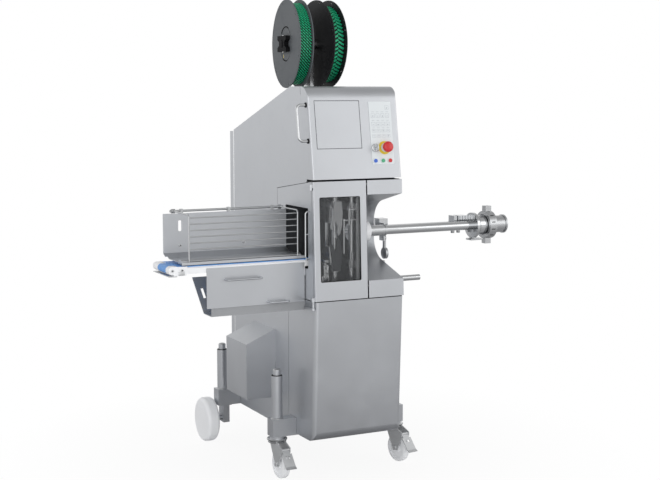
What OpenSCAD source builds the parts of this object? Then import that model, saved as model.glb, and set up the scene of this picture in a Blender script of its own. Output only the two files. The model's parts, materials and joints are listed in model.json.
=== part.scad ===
// Automatic double clipper for sausage: a stainless housing on wheels that takes filled casing
// from a filling tube, closes it with clips fed from two spools and lets it out over a belt.
// X runs along the product path to the filling tube, Y to the rear, Z up from the floor.

/* [Housing] */
// Width over the side panels
body_w = 420; // [400:1:450]
// Height of the lower cover's bottom edge
skirt_z = 184; // [180:1:190]
// Height of the knee, where the clip door stands on the lower cover
knee_z = 786; // [770:1:800]
// Height of the seam under the hood
hood_z = 1286; // [1270:1:1300]
// Height of the flat top
top_z = 1676; // [1660:1:1700]
// How far the foot of the lower cover stands behind the knee
foot_lean = 26; // [15:1:35]
// How far the clip door leans back
door_lean = 23; // [15:1:30]
// How far the hood front leans back
hood_lean = 63; // [50:1:75]
// Depth of the flat top
top_depth = 162; // [140:1:180]
// Distance from the knee to the rear edge of the side panels
rear_y = 876; // [860:1:900]
// Height of the housing at its rear edge
rear_z = 1478; // [1450:1:1500]
// Depth of the rear cover
rear_depth = 55; // [40:1:70]
// Thickness of the housing sheet
sheet = 3; // [2:0.5:4]
// Width of the seams between covers
seam = 2; // [1:0.5:3]
// Corner radius of the lower cover
cover_r = 18; // [10:1:25]
// Radius of the lower cover's bottom front edge
skirt_r = 40; // [30:1:50]
// Depth of the lower cover's flanks
cover_y = 270; // [262:1:285]
// Distance from the knee to the rear edge of the middle cheeks
cheek_y = 380; // [365:1:400]

/* [Doors] */
// Width of the clip door
door_w = 248; // [240:1:256]
// Depth of the clip door's edge
door_depth = 16; // [12:1:20]
// Width of the window
window_w = 190; // [170:1:200]
// Height of the window
window_h = 354; // [320:1:370]
// Depth of the control door's edge
pan_depth = 60; // [50:1:70]
// Radius of the hood's front top edge
hood_round = 60; // [45:1:62]
// Radius of the hood's upright front edges
hood_edge = 8; // [6:1:12]
// Diameter of the hinge pins
hinge_pin_d = 8; // [6:0.5:9]
// Length of the pull handle between its feet
handle_len = 150; // [120:1:180]
// Diameter of the pull handle's bar
handle_d = 12; // [10:0.5:14]

/* [Throat and filling tube] */
// Radius of the throat's round back
throat_r = 100; // [90:1:105]
// Height of the product path
tube_z = 1050; // [1040:1:1060]
// Distance from the knee to the product path
tube_y = 190; // [180:1:195]
// Outer diameter of the filling tube
tube_d = 40; // [30:1:44]
// Wall of the filling tube
tube_wall = 2; // [1.5:0.25:3]
// End of the filling tube, from the left side panel
tube_end = 880; // [860:1:900]
// Outer diameter of the inlet stub
stub_d = 77; // [72:0.5:80]
// Wall of the inlet stub
stub_wall = 3; // [2:0.5:4]
// Diameter of the guide rod beside the filling tube
guide_d = 30; // [24:1:34]
// Diameter of the casing brake's ring
ring_d = 88; // [80:1:94]
// Diameter of the docking rod
dock_d = 25; // [20:1:28]
// Length of the docking rod outside the housing
dock_len = 140; // [100:1:160]

/* [Discharge] */
// Width of the belt
belt_w = 180; // [170:1:182]
// Thickness of the belt
belt_t = 4; // [3:0.25:4.5]
// Height of the belt's top
belt_z = 957; // [950:1:960]
// Reach of the belt outside the left side panel
belt_reach = 602; // [560:1:640]
// Height of the guard's upper edge
guard_z = 1163; // [1150:1:1168]
// Diameter of the guard's wires
wire_d = 6; // [5:0.5:7]
// Length of the wire guard
guard_len = 482; // [440:1:490]
// Number of wires across the guard's front
wire_count = 5; // [4:1:6]
// Length of the trough under the belt
trough_len = 437; // [400:1:460]
// Height of the trough's front panel
trough_h = 166; // [158:1:175]

/* [Spools] */
// Diameter of the spool flanges
spool_d = 390; // [360:1:400]
// Width of a spool over its flanges
spool_w = 64; // [56:1:68]
// Height of the spool axles
spool_z = 1865; // [1850:1:1880]
// Distance from the knee to the spool axles
spool_y = 505; // [480:1:520]
// Diameter of the spool axles
axle_d = 30; // [24:1:34]
// Angle by which the left axle is toed in
spool_toe = 6; // [0:0.5:7]

/* [Undercarriage] */
// Width over the outriggers
base_w = 640; // [620:1:660]
// Height of the outrigger tube
beam_h = 76; // [66:1:84]
// Depth of the outrigger tube
beam_d = 60; // [54:1:66]
// Height of the outrigger's underside
beam_z = 178; // [174:1:180]
// Diameter of the leg columns
column_d = 48; // [42:1:52]
// Height of the leg columns above the outriggers
column_h = 188; // [160:1:210]
// Diameter of the caster wheels
caster_d = 125; // [115:1:128]
// Width of the caster wheels
caster_w = 32; // [28:1:36]
// Trail of the casters
caster_trail = 38; // [34:1:44]
// Diameter of the rear wheels
rear_d = 208; // [200:1:216]
// Width of the rear wheels
rear_w = 58; // [52:1:60]

/* [Hidden] */
$fn = 64;

// Clearances: a running fit on a radius, a gap between moving pieces, a gap round a fixed one
fit = 0.05;
run = 0.4;
slack = 1;
far = 3000;

// Colours of the finishes
steel = [0.72, 0.73, 0.76];
bright = [0.82, 0.83, 0.85];
dark_steel = [0.45, 0.46, 0.48];
nylon = [0.94, 0.94, 0.93];
belt_blue = [0.25, 0.45, 0.8];
clip_green = [0.05, 0.5, 0.3];
spool_grey = [0.3, 0.3, 0.31];

// Front planes: tilts and the points where they meet
door_tilt = atan(door_lean / (hood_z - knee_z));
hood_tilt = atan(hood_lean / (top_z - hood_z));
foot_tilt = atan(foot_lean / (knee_z - skirt_z));
door_h = (hood_z - knee_z) / cos(door_tilt);
hood_top_y = door_lean + hood_lean;
slope_y = hood_top_y + top_depth;
rear_slope = (top_z - rear_z) / (rear_y - slope_y);
cheek_slope = 0.138;

// Undercarriage places
base_x0 = (body_w - base_w) / 2;
base_x1 = (body_w + base_w) / 2;
front_beam_y = 193;
rear_beam_y = 825;
beam_top = beam_z + beam_h;
column_in = 32;
column_x = [base_x0 + column_in, base_x1 - column_in];
caster_y = front_beam_y + beam_d / 2;
caster_turn = [-88, -80];
mount_t = 15;
wheel_out = 33;
wheel_x = [base_x0 - wheel_out, base_x1 + wheel_out];
rear_axle_d = 24;
axle_stop = 10;
caster_axle_d = 12;

// Clip chamber places
chamber_y = 345;
chamber_top = 1232;
wall_x = door_w + 4;
column_pair_y = [75, 310];
ram_x = 205;
displacer_x = 125;
guide_column_d = 26;

// Filling tube places
guide_y = tube_y + ring_d / 2 + guide_d / 2 + 3;
hub_end = tube_end + 70;
nut_len = 38;
stub_len = 98;
brake_x = 316;
brake_len = 26;
dock_y = 110;
dock_z = 843;

// Discharge places
belt_y = 110;
nose_r = 16;
nose_x = nose_r - belt_reach;
drive_x = 30;
belt_mid_z = belt_z - nose_r;
roller_r = nose_r - belt_t - run;
tray_y = belt_y + belt_w + 5;
guard_y = 110;
guard_x1 = -30;
guard_x0 = guard_x1 - guard_len;
guard_low = 976;
hinge_rod_d = 10;
hinge_rod_y = tray_y + sheet / 2;
trough_z0 = 777;
trough_y = 100;

// Spool places
post_x0 = 206;
post_t = 16;
post_half = 30;
spool_gap = 6;
hub_line_d = 146;
flange_t = 4;

// Hood front places, measured along the tilted front from the hood seam
keypad_x0 = 283;
keypad_w = 106;
keypad_z0 = 65;
keypad_h = 265;
keypad_t = 1.5;
estop_at = [345, 134];
key_at = [301, 134];
button_z = 79;
button_x = [298, 334, 368];
collar_t = 6;
estop_d = 46;
estop_bevel = 10;
estop_stem_d = 22;
estop_h = 45;
button_d = 16;
button_ring = 3;
button_travel = 2;
key_d = 20;
handle_mid_z = 245;
handle_back = 18;
handle_out = 42;
axis_off = 8;
knuckle_d = 14;

// Middle of the footprint, from the belt's nose to the inlet and from the knee to the rear wheels
inlet_end = hub_end + stub_len + 5;
front_end = min(0, door_lean - (keypad_t + estop_h) * cos(hood_tilt)
    + (estop_at[1] - estop_d / 2 + estop_bevel) * sin(hood_tilt));
rear_wheel_y = 892;
origin_x = (inlet_end - belt_reach) / 2;
origin_y = (rear_wheel_y + rear_d / 2 + front_end) / 2;
function front_y(z) = z < knee_z ? foot_lean * (knee_z - z) / (knee_z - skirt_z)
    : z < hood_z ? door_lean * (z - knee_z) / (hood_z - knee_z)
    : door_lean + hood_lean * (z - hood_z) / (top_z - hood_z);
function top_line(y) = y < slope_y ? top_z : top_z - (y - slope_y) * rear_slope;
function cheek_line(y) = hood_z - (y - door_lean) * cheek_slope;

// Frames on the three front planes
module hood_frame() translate([0, door_lean, hood_z]) rotate([-hood_tilt, 0, 0]) children();
module door_frame() translate([0, 0, knee_z]) rotate([-door_tilt, 0, 0]) children();
module foot_frame() translate([0, 0, knee_z]) rotate([foot_tilt, 0, 0]) children();

// Plain shapes
module box(x0, x1, y0, y1, z0, z1) translate([x0, y0, z0]) cube([x1 - x0, y1 - y0, z1 - z0]);
module rod_x(d, x0, x1, y, z) translate([x0, y, z]) rotate([0, 90, 0]) cylinder(d = d, h = x1 - x0);
module rod_y(d, y0, y1, x, z) translate([x, y0, z]) rotate([-90, 0, 0]) cylinder(d = d, h = y1 - y0);
module rod_z(d, z0, z1, x, y) translate([x, y, z0]) cylinder(d = d, h = z1 - z0);

// Sheet cut to an outline in Y and Z, with its left face at x
module side_sheet(outline, x, t = sheet)
    translate([x, 0, 0]) rotate([90, 0, 90]) linear_extrude(t) polygon(outline);

// Upright block with its two front edges rounded
module front_block(w, d, h, r) {
    translate([r, 0, 0]) cube([w - 2 * r, d, h]);
    translate([0, r, 0]) cube([w, d - r, h]);
    for (x = [r, w - r]) translate([x, r, 0]) cylinder(r = r, h = h);
}

// Window or slot with round corners, through the thickness t in Y
module round_slot(w, h, r, t) {
    translate([r, 0, 0]) cube([w - 2 * r, t, h]);
    translate([0, 0, r]) cube([w, t, h - 2 * r]);
    for (x = [r, w - r], z = [r, h - r])
        translate([x, 0, z]) rotate([-90, 0, 0]) cylinder(r = r, h = t);
}

// Bow of round bar: two legs along -Y and a grip along X, with round corners
module bow(d, len, out) {
    bend = 1.5 * d;
    for (x = [-len / 2, len / 2]) rod_y(d, -out + bend, 0, x, 0);
    rod_x(d, -len / 2 + bend, len / 2 - bend, -out, 0);
    for (side = [0, 1]) mirror([side, 0, 0])
        translate([len / 2 - bend, bend - out, 0]) rotate([0, 0, -90])
            rotate_extrude(angle = 90) translate([bend, 0]) circle(d = d);
}

// Undercarriage
module outrigger(y) {
    box(base_x0, base_x1, y, y + beam_d, beam_z, beam_top);
}

module rear_bracket(side) {
    x_in = side > 0 ? base_x1 - 70 : base_x0 + 40;
    box(x_in, x_in + 30, rear_wheel_y - 30, rear_wheel_y + 30, rear_d / 2 - 20, beam_z);
    box(x_in - 12, x_in + 42, rear_wheel_y - 30, rear_wheel_y + 30, beam_z - 12, beam_z);
}

module rear_axle(side) {
    x_in = side > 0 ? base_x1 - 70 : base_x0 + 70;
    x_out = side > 0 ? wheel_x[1] + rear_w / 2 - axle_stop - run : wheel_x[0] - rear_w / 2 + axle_stop + run;
    rod_x(rear_axle_d, min(x_in, x_out), max(x_in, x_out), rear_wheel_y, rear_d / 2);
}

module base_frame() color(steel) {
    outrigger(front_beam_y);
    outrigger(rear_beam_y);
    for (x = [sheet, body_w - sheet - 40])
        box(x, x + 40, front_beam_y + beam_d, rear_beam_y, beam_z, beam_top);
    box(sheet, body_w - sheet, foot_lean + cover_r, rear_y, beam_top, beam_top + sheet);
    for (side = [-1, 1]) {
        rear_bracket(side);
        rear_axle(side);
    }
    for (x = column_x) difference() {
        rod_z(66, beam_z - mount_t, beam_z, x, caster_y);
        rod_z(16, beam_z - mount_t - slack, beam_z + slack, x, caster_y);
    }
}

module leg_columns() color(steel)
    for (x = column_x, y = [front_beam_y, rear_beam_y]) {
        rod_z(column_d, beam_top, beam_top + column_h, x, y + beam_d / 2);
        translate([x, y + beam_d / 2, beam_top + column_h]) intersection() {
            cylinder(d = column_d * 0.7, h = 24);
            translate([0, 0, -column_d * 0.1]) sphere(d = column_d * 1.4);
        }
    }

// Wheel with its tread edges rounded to r
module round_wheel(d, w, r) rotate_extrude() {
    translate([0, -w / 2]) square([d / 2 - r, w]);
    translate([0, r - w / 2]) square([d / 2, w - 2 * r]);
    for (z = [r - w / 2, w / 2 - r]) translate([d / 2 - r, z]) circle(r = r);
}

// Casters: a fork that turns about its king pin, its axle, a wheel and a brake pedal
module caster_place(side)
    translate([column_x[side], caster_y, 0]) rotate([0, 0, caster_turn[side]]) children();
crown_z = beam_z - mount_t - run;
fork_in = caster_w / 2 + 2;
pedal_u = caster_trail + 40;
pedal_z = caster_d + 7;
pedal_half = fork_in - run;
pedal_slope = 50;
pedal_w = 48;
tongue_w = 2 * pedal_half - 2;
tongue_len = 20;

module fork_plate() {
    rotate([90, 0, 0]) linear_extrude(4) polygon([
        [-26, crown_z - 14], [-22, crown_z], [30, crown_z], [pedal_u + 8, pedal_z + 8],
        [pedal_u + 8, pedal_z - 8], [caster_trail + 16, caster_d / 2 - 8],
        [caster_trail - 12, caster_d / 2 - 12], [caster_trail - 16, caster_d / 2]
    ]);
}

module caster_fork(side) color(bright) caster_place(side) {
    difference() {
        union() {
            rod_z(60, crown_z - 10, crown_z, 0, 0);
            for (y = [-fork_in, fork_in + 4]) translate([0, y, 0]) fork_plate();
            rod_z(16 - 2 * fit, crown_z - 10, beam_z - run, 0, 0);
        }
        rod_y(caster_axle_d, -far / 2, far / 2, caster_trail, caster_d / 2);
        rod_y(6, -far / 2, far / 2, pedal_u, pedal_z);
    }
    rod_y(caster_axle_d, -fork_in - 10, fork_in + 10, caster_trail, caster_d / 2);
    for (y = [-fork_in - 10, fork_in + 4])
        rod_y(caster_axle_d * 1.7, y, y + 6, caster_trail, caster_d / 2, $fn = 6);
    rod_y(6, -fork_in - 4, fork_in + 4, pedal_u, pedal_z);
}

module caster_wheel(side) color(nylon) caster_place(side)
    translate([caster_trail, 0, caster_d / 2]) rotate([90, 0, 0]) difference() {
        union() {
            round_wheel(caster_d, caster_w, 9);
            cylinder(d = 34, h = caster_w + 4 - 2 * run, center = true);
        }
        cylinder(d = caster_axle_d + 2 * fit, h = far, center = true);
        for (s = [0, 1]) mirror([0, 0, s]) translate([0, 0, caster_w / 2 - 5]) difference() {
            cylinder(d = caster_d - 30, h = 10);
            cylinder(d = 44, h = 30, center = true);
        }
    }

module caster_brake(side) color(bright) caster_place(side)
translate([pedal_u, 0, pedal_z]) rotate([0, pedal_slope, 0]) difference() {
    union() {
        rotate([90, 0, 0]) cylinder(d = 12, h = 2 * pedal_half, center = true);
        intersection() {
            rotate([90, 0, 0]) linear_extrude(far, center = true) polygon([
                [0, -1.5], [80.6, -1.5], [94, 3.6], [93, 6.5], [80, 1.5], [0, 1.5]
            ]);
            linear_extrude(far, center = true) polygon([
                [-1, -tongue_w / 2], [tongue_len, -tongue_w / 2], [tongue_len, -pedal_w / 2],
                [100, -pedal_w / 2], [100, pedal_w / 2], [tongue_len, pedal_w / 2],
                [tongue_len, tongue_w / 2], [-1, tongue_w / 2]
            ]);
        }
    }
    rotate([90, 0, 0]) cylinder(d = 6 + 2 * fit, h = far, center = true);
    translate([30, -10, -10]) cube([12, 20, 20]);
}

module caster_fork_left() caster_fork(0);
module caster_fork_right() caster_fork(1);
module caster_wheel_left() caster_wheel(0);
module caster_wheel_right() caster_wheel(1);
module caster_brake_left() caster_brake(0);
module caster_brake_right() caster_brake(1);

// Large rear wheels, blind outside and dished inside
module rear_wheel(side) color(nylon)
    translate([wheel_x[side], rear_wheel_y, rear_d / 2]) rotate([0, 90, 0]) difference() {
        round_wheel(rear_d, rear_w, 17);
        mirror([0, 0, side]) translate([0, 0, axle_stop - rear_w / 2]) {
            cylinder(d = rear_axle_d + 2 * fit, h = rear_w);
            translate([0, 0, rear_w - axle_stop - 8]) difference() {
                cylinder(d = rear_d - 60, h = 20);
                cylinder(d = 70, h = 60, center = true);
            }
        }
    }
module rear_wheel_left() rear_wheel(0);
module rear_wheel_right() rear_wheel(1);

// Housing sheets
panel_front = (pan_depth + seam) / cos(hood_tilt);
panel_outline = [
    [cover_y + seam, skirt_z], [rear_y, skirt_z], [rear_y, rear_z - sheet], [slope_y, top_z - sheet],
    [front_y(top_z - sheet) + panel_front, top_z - sheet],
    [front_y(hood_z) + panel_front, hood_z + seam],
    [front_y(hood_z) + panel_front, cheek_line(front_y(hood_z) + panel_front) + seam],
    [cheek_y + seam, cheek_line(cheek_y) + seam], [cheek_y + seam, knee_z], [cover_y + seam, knee_z]
];
motor_y = [410, 645];
motor_z0 = 300;
motor_z1 = 548;
motor_z2 = 607;
motor_out = 140;

module beam_notches(x0, x1)
    for (y = [front_beam_y, rear_beam_y])
        box(x0, x1, y - slack, y + beam_d + slack, 0, beam_top + slack);

module side_panel_left() color(steel) difference() {
    side_sheet(panel_outline, 0);
    beam_notches(-slack, sheet + slack);
    box(-slack, sheet + slack, motor_y[0] + 15, motor_y[1] - 15, motor_z0 + 15, motor_z1 - 8);
}

module side_panel_right() color(steel) difference() {
    side_sheet(panel_outline, body_w - sheet);
    beam_notches(body_w - sheet - slack, body_w + slack);
}

cheek_front = (door_depth + seam) / cos(door_tilt);
module cheek_outline_sheet(x, front) side_sheet([
    [front_y(knee_z + seam) + front, knee_z + seam], [cheek_y, knee_z + seam],
    [cheek_y, cheek_line(cheek_y)], [front_y(cheek_line(front)) + front, cheek_line(front_y(hood_z) + front)]
], x);

// Discharge opening in the left cheek
exit_y = [70, tray_y + sheet];
exit_z = [belt_mid_z - nose_r - 8, 1172];
module cheek_left() color(steel) difference() {
    cheek_outline_sheet(0, cheek_front);
    translate([-slack, exit_y[0], exit_z[0]]) mirror([1, 0, 0]) rotate([0, 0, 90])
        round_slot(exit_y[1] - exit_y[0], exit_z[1] - exit_z[0], 8, sheet + 2 * slack);
}

// The throat is an open C: two arcs, a straight back and two slopes to the front
throat_top_z = tube_z + 35;
throat_low_z = tube_z - 35;
throat_back_y = guide_y + guide_d / 2 + 3 - throat_r;
upper_slope = 13.6;
lower_slope = 16.7;
module throat_void(x0, x1, grow) {
    r = throat_r + grow;
    up = [throat_back_y + r * sin(upper_slope), throat_top_z + r * cos(upper_slope)];
    low = [throat_back_y + r * sin(lower_slope), throat_low_z - r * cos(lower_slope)];
    reach = 60;
    for (z = [throat_top_z, throat_low_z]) rod_x(2 * r, x0, x1, throat_back_y, z);
    box(x0, x1, throat_back_y, throat_back_y + r, throat_low_z, throat_top_z);
    side_sheet([
        [-reach, up[1] + (up[0] + reach) * tan(upper_slope)], up,
        [throat_back_y, throat_top_z], [throat_back_y, throat_low_z], low,
        [-reach, low[1] - (low[0] + reach) * tan(lower_slope)]
    ], x0, x1 - x0);
}

// Front slab of the middle section, clipped to the heights of the door
module nose_slab(x0, x1, depth) intersection() {
    door_frame() box(x0, x1, 0, depth, -far / 10, door_h + far / 10);
    box(x0, x1, -far, far, knee_z + seam, hood_z - seam);
}

module throat_housing() color(steel) difference() {
    union() {
        nose_slab(wall_x, body_w, sheet);
        cheek_outline_sheet(body_w - sheet, sheet / cos(door_tilt));
        intersection() {
            throat_void(wall_x, body_w, sheet);
            nose_slab(wall_x, body_w, far / 10);
        }
    }
    throat_void(wall_x - slack, body_w + slack, 0);
}

// Clip chamber: loose sheets on the guide columns, with tabs behind the flank seams
sheet_gap = 0.3;
module chamber_walls() color(dark_steel) {
    floor_z = knee_z + seam;
    inner_x = wall_x - sheet - sheet_gap;
    difference() {
        intersection() {
            side_sheet([[0, floor_z], [chamber_y, floor_z], [chamber_y, chamber_top], [0, chamber_top]],
                wall_x - sheet);
            door_frame() box(0, body_w, door_depth + seam, far / 4, -far / 10, far / 2);
        }
        rod_x(72, wall_x - sheet - slack, wall_x + slack, tube_y, tube_z);
    }
    box(sheet, inner_x, chamber_y - sheet, chamber_y, floor_z + sheet + sheet_gap,
        chamber_top - sheet - sheet_gap);
    box(sheet, inner_x, cheek_front + sheet, chamber_y, floor_z, floor_z + sheet);
    box(sheet, inner_x, cheek_front + door_lean, chamber_y, chamber_top - sheet, chamber_top);
    box(sheet, body_w - sheet, panel_front + door_lean, cheek_y, hood_z, hood_z + sheet);
    for (x = [sheet, body_w - 2 * sheet]) {
        box(x, x + sheet, cheek_y - 20, cheek_y + seam + 20, knee_z + 20, cheek_line(cheek_y) - 10);
        box(x, x + sheet, cover_y - 16, cover_y + seam + 16, beam_top + 40, knee_z - 20);
    }
}

// Lower cover: upright edges and bottom front edge rounded, open below and behind
foot_z = skirt_z + skirt_r;
foot_y = front_y(foot_z) + skirt_r / cos(foot_tilt);
foot_up = (foot_z - knee_z) * cos(foot_tilt) - foot_y * sin(foot_tilt);
module lower_block(inset) intersection() {
    foot_frame() translate([inset, inset, -far / 4])
        front_block(body_w - 2 * inset, far / 6, far / 3, cover_r - inset);
    box(0, body_w, -far / 10, cover_y + inset, skirt_z - inset, knee_z - seam + inset);
    union() {
        foot_frame() box(-slack, body_w + slack, -slack, far / 5, foot_up, far / 5);
        box(-slack, body_w + slack, foot_y, far / 5, skirt_z - 2 * sheet, knee_z);
        rod_x(2 * (skirt_r - inset), -slack, body_w + slack, foot_y, foot_z);
    }
}

module lower_front_cover() color(steel) difference() {
    lower_block(0);
    lower_block(sheet);
    beam_notches(-slack, body_w + slack);
}

module motor_shell(inset) rotate([90, 0, 0]) linear_extrude(motor_y[1] - motor_y[0] - 2 * inset) polygon([
    [inset, motor_z0 + inset], [inset - motor_out, motor_z0 + inset],
    [inset - motor_out, motor_z1 - inset], [inset, motor_z2 - inset]
]);
module motor_cover() color(steel) difference() {
    translate([0, motor_y[1], 0]) motor_shell(0);
    translate([0, motor_y[1] - sheet, 0]) motor_shell(sheet);
}

module rear_cover() color(steel) difference() {
    union() {
        box(10, body_w - 10, rear_y, rear_y + rear_depth, skirt_z + 8, rear_z - 8);
        box(0, body_w, rear_y, rear_y + rear_depth - 10, skirt_z + 8, rear_z - 8);
        for (x = [10, body_w - 10])
            rod_z(20, skirt_z + 8, rear_z - 8, x, rear_y + rear_depth - 10);
    }
    box(sheet, body_w - sheet, rear_y - slack, rear_y + rear_depth - 10,
        skirt_z + 8 + sheet, rear_z - 8 - sheet);
    box(10, body_w - 10, rear_y - slack, rear_y + rear_depth - sheet,
        skirt_z + 8 + sheet, rear_z - 8 - sheet);
    beam_notches(-far, far);
}

// Top cover with a slot over each clip rail
rail_y = spool_y - spool_d / 2 * 0.85;
rail_x = [139, 273];
module top_cover() color(steel) difference() {
    front = front_y(top_z) + panel_front;
    side_sheet([
        [front, top_z - sheet], [slope_y, top_z - sheet], [rear_y, rear_z - sheet],
        [rear_y, rear_z], [slope_y, top_z], [front, top_z]
    ], 0, body_w);
    for (x = rail_x) box(x - 14, x + 14, rail_y - 12, rail_y + 30, rear_z, top_z + slack);
}

module clip_rails() color(bright)
    for (x = rail_x) difference() {
        box(x - 9, x + 9, rail_y - 6, rail_y + 6, hood_z + sheet, top_line(rail_y) - sheet - slack);
        box(x - 5, x + 5, rail_y - 6 - slack, rail_y - 1, hood_z + sheet + 20, top_z);
    }

// Clip door on two pin hinges at its left edge
low_hinge = [-34, -24];
high_hinge = [464, 474];
low_eye = 18;
module door_block(inset, depth) translate([inset, inset, seam + inset])
    front_block(door_w - 2 * inset, depth - inset, door_h - 2 * seam - 2 * inset, 4 - inset);

window_x = (door_w - window_w) / 2 - 2;
window_z = 80;
module door_knuckle(z0, z1) {
    translate([-axis_off, axis_off, z0]) cylinder(d = knuckle_d, h = z1 - z0);
    web = max(z0, seam);
    box(-axis_off, sheet, axis_off - 5, axis_off + 5, web, min(z1, door_h - seam));
}

module clip_door() color(steel) door_frame() difference() {
    union() {
        difference() {
            door_block(0, door_depth);
            door_block(sheet, door_depth + slack);
        }
        door_knuckle(seam, low_eye);
        door_knuckle(high_hinge[1] + run, high_hinge[1] + 14);
    }
    translate([window_x, -slack, window_z]) round_slot(window_w, window_h, 6, sheet + 2 * slack);
    for (z = [low_hinge[0], high_hinge[0]])
        translate([-axis_off, axis_off, z]) cylinder(d = hinge_pin_d + 2 * fit, h = far / 20);
}

module window_pane() color([0.2, 0.22, 0.24, 0.5]) door_frame()
    translate([window_x - 8, sheet, window_z - 8]) round_slot(window_w + 16, window_h + 16, 6, 5);

// Fixed hinge halves: straps on the left flank, leaves with pins on the right one
control_knuckles = [60, 190, 320];
knuckle_len = 18;
pan_axis_y = pan_depth + seam / 2;
module door_strap(z) door_frame() {
    translate([-axis_off, axis_off, z[0]]) cylinder(d = knuckle_d, h = z[1] - z[0]);
    box(-axis_off, -slack, axis_off, door_depth + seam + 10, z[0], z[1]);
    box(-6, 0, door_depth + seam + slack, 100, z[0], z[1]);
}

module hinge_brackets() color(bright) {
    for (z = [low_hinge, high_hinge]) {
        door_strap(z);
        door_frame() translate([-axis_off, axis_off, z[1]])
            cylinder(d = hinge_pin_d, h = max(z[1] + 12, low_eye - 2) - z[1]);
    }
    hood_frame() for (z = control_knuckles) translate([body_w, pan_axis_y, z]) {
        for (end = [-knuckle_len, knuckle_len]) translate([axis_off, 0, end])
            cylinder(d = knuckle_d, h = knuckle_len - run);
        translate([axis_off, 0, -knuckle_len]) cylinder(d = hinge_pin_d, h = 3 * knuckle_len - run);
        translate([0, seam / 2 + slack, -knuckle_len]) difference() {
            cube([axis_off, 34, 3 * knuckle_len - run]);
            translate([2.5, 8, -slack]) cube([axis_off, 40, far]);
            translate([0, -8, knuckle_len - run]) cube([axis_off + slack, 16, knuckle_len + 2 * run]);
        }
    }
}

// Control door: a deep pan with a round top edge, hinged at the right
under_gap = 6;
round_z = top_z - hood_round;
round_y = door_lean + (hood_round + (round_z - hood_z) * sin(hood_tilt)) / cos(hood_tilt);
round_up = (round_z - hood_z) * cos(hood_tilt) + (round_y - door_lean) * sin(hood_tilt);
module pan_block(inset, depth) intersection() {
    hood_frame() translate([inset, inset, -far / 10])
        front_block(body_w - 2 * inset, depth - inset, far / 4, hood_edge - inset);
    box(-slack, body_w + slack, -far / 10, far / 5, hood_z + under_gap + inset, top_z - inset);
    union() {
        hood_frame() box(-slack, body_w + slack, -slack, far / 5, -far / 10, round_up);
        box(-slack, body_w + slack, round_y, far / 5, hood_z, top_z + slack);
        rod_x(2 * (hood_round - inset), -slack, body_w + slack, round_y, round_z);
    }
}

module control_door() color(steel) difference() {
    union() {
        difference() {
            pan_block(0, pan_depth);
            pan_block(sheet, pan_depth + slack);
        }
        hood_frame() for (z = control_knuckles) translate([body_w, pan_axis_y, z]) {
            translate([axis_off, 0, 0]) cylinder(d = knuckle_d, h = knuckle_len - run);
            translate([0, -34 - seam / 2 - slack, 0]) difference() {
                cube([axis_off, 34 + seam / 2 + slack, knuckle_len - run]);
                translate([2.5, -slack, -slack]) cube([axis_off, 27, far]);
            }
        }
    }
    hood_frame() {
        for (z = control_knuckles) translate([body_w + axis_off, pan_axis_y, z - slack])
            cylinder(d = hinge_pin_d + 2 * fit, h = knuckle_len + 2 * slack);
        switch_holes();
    }
}

// Holes for the stems behind the switches
module switch_holes() {
    rod_y(estop_stem_d + 4, -2 * keypad_t, 2 * sheet, estop_at[0], estop_at[1]);
    rod_y(key_d + 4, -2 * keypad_t, 2 * sheet, key_at[0], key_at[1]);
    for (x = button_x) rod_y(button_d + 2, -2 * keypad_t, 2 * sheet, x, button_z);
}

module keypad() color([0.93, 0.94, 0.95]) hood_frame() difference() {
    translate([keypad_x0, -keypad_t, keypad_z0]) round_slot(keypad_w, keypad_h, 4, keypad_t);
    switch_holes();
}

module switch_collars() color([0.85, 0.7, 0.15]) hood_frame() {
    difference() {
        rod_y(56, -keypad_t - collar_t, -keypad_t, estop_at[0], estop_at[1]);
        rod_y(estop_stem_d + 2 * fit, -far / 10, far / 10, estop_at[0], estop_at[1]);
    }
    difference() {
        rod_y(36, -keypad_t - collar_t, -keypad_t, key_at[0], key_at[1]);
        rod_y(key_d + 2 * fit, -far / 10, far / 10, key_at[0], key_at[1]);
    }
    for (x = button_x) difference() {
        rod_y(button_d + 2 * button_ring, -keypad_t - 3, -keypad_t, x, button_z);
        rod_y(button_d + 2 * fit, -far / 10, far / 10, x, button_z);
    }
}

module estop_head() color([0.8, 0.12, 0.1]) hood_frame()
    translate([estop_at[0], -keypad_t, estop_at[1]]) rotate([90, 0, 0]) {
        translate([0, 0, -sheet]) cylinder(d = estop_stem_d, h = estop_h - 10 + sheet);
        rotate_extrude() polygon([
            [0, estop_h - 20], [estop_d / 2 - 4, estop_h - 20], [estop_d / 2, estop_h - 17],
            [estop_d / 2, estop_h - 8], [estop_d / 2 - 3, estop_h - 3], [estop_d / 2 - estop_bevel, estop_h],
            [0, estop_h]
        ]);
    }

module key_switch() color(bright) hood_frame()
    translate([key_at[0], -keypad_t, key_at[1]]) rotate([90, 0, 0]) {
        translate([0, 0, -sheet]) cylinder(d = key_d, h = sheet + collar_t + 4);
        translate([-1.25, -12, collar_t + 4]) cube([2.5, 24, 20]);
    }

module push_button(i, tint) color(tint) hood_frame()
    translate([button_x[i], -keypad_t, button_z]) rotate([90, 0, 0])
        translate([0, 0, -sheet]) cylinder(d = button_d, h = sheet + 3 + button_travel + 1);
module button_blue() push_button(0, [0.2, 0.35, 0.7]);
module button_green() push_button(1, [0.15, 0.55, 0.35]);
module button_red() push_button(2, [0.75, 0.15, 0.15]);

module pull_handle() color(bright) hood_frame()
    translate([0, handle_back, handle_mid_z]) rotate([0, 90, 0]) rotate([90, 0, 0])
        bow(handle_d, handle_len, handle_out);

// Clip head: four guide columns that carry two rams and two displacers
module guide_columns() color(bright)
    for (x = [ram_x, displacer_x], y = column_pair_y)
        rod_z(guide_column_d, knee_z + seam + sheet, chamber_top - sheet, x, y);

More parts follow.
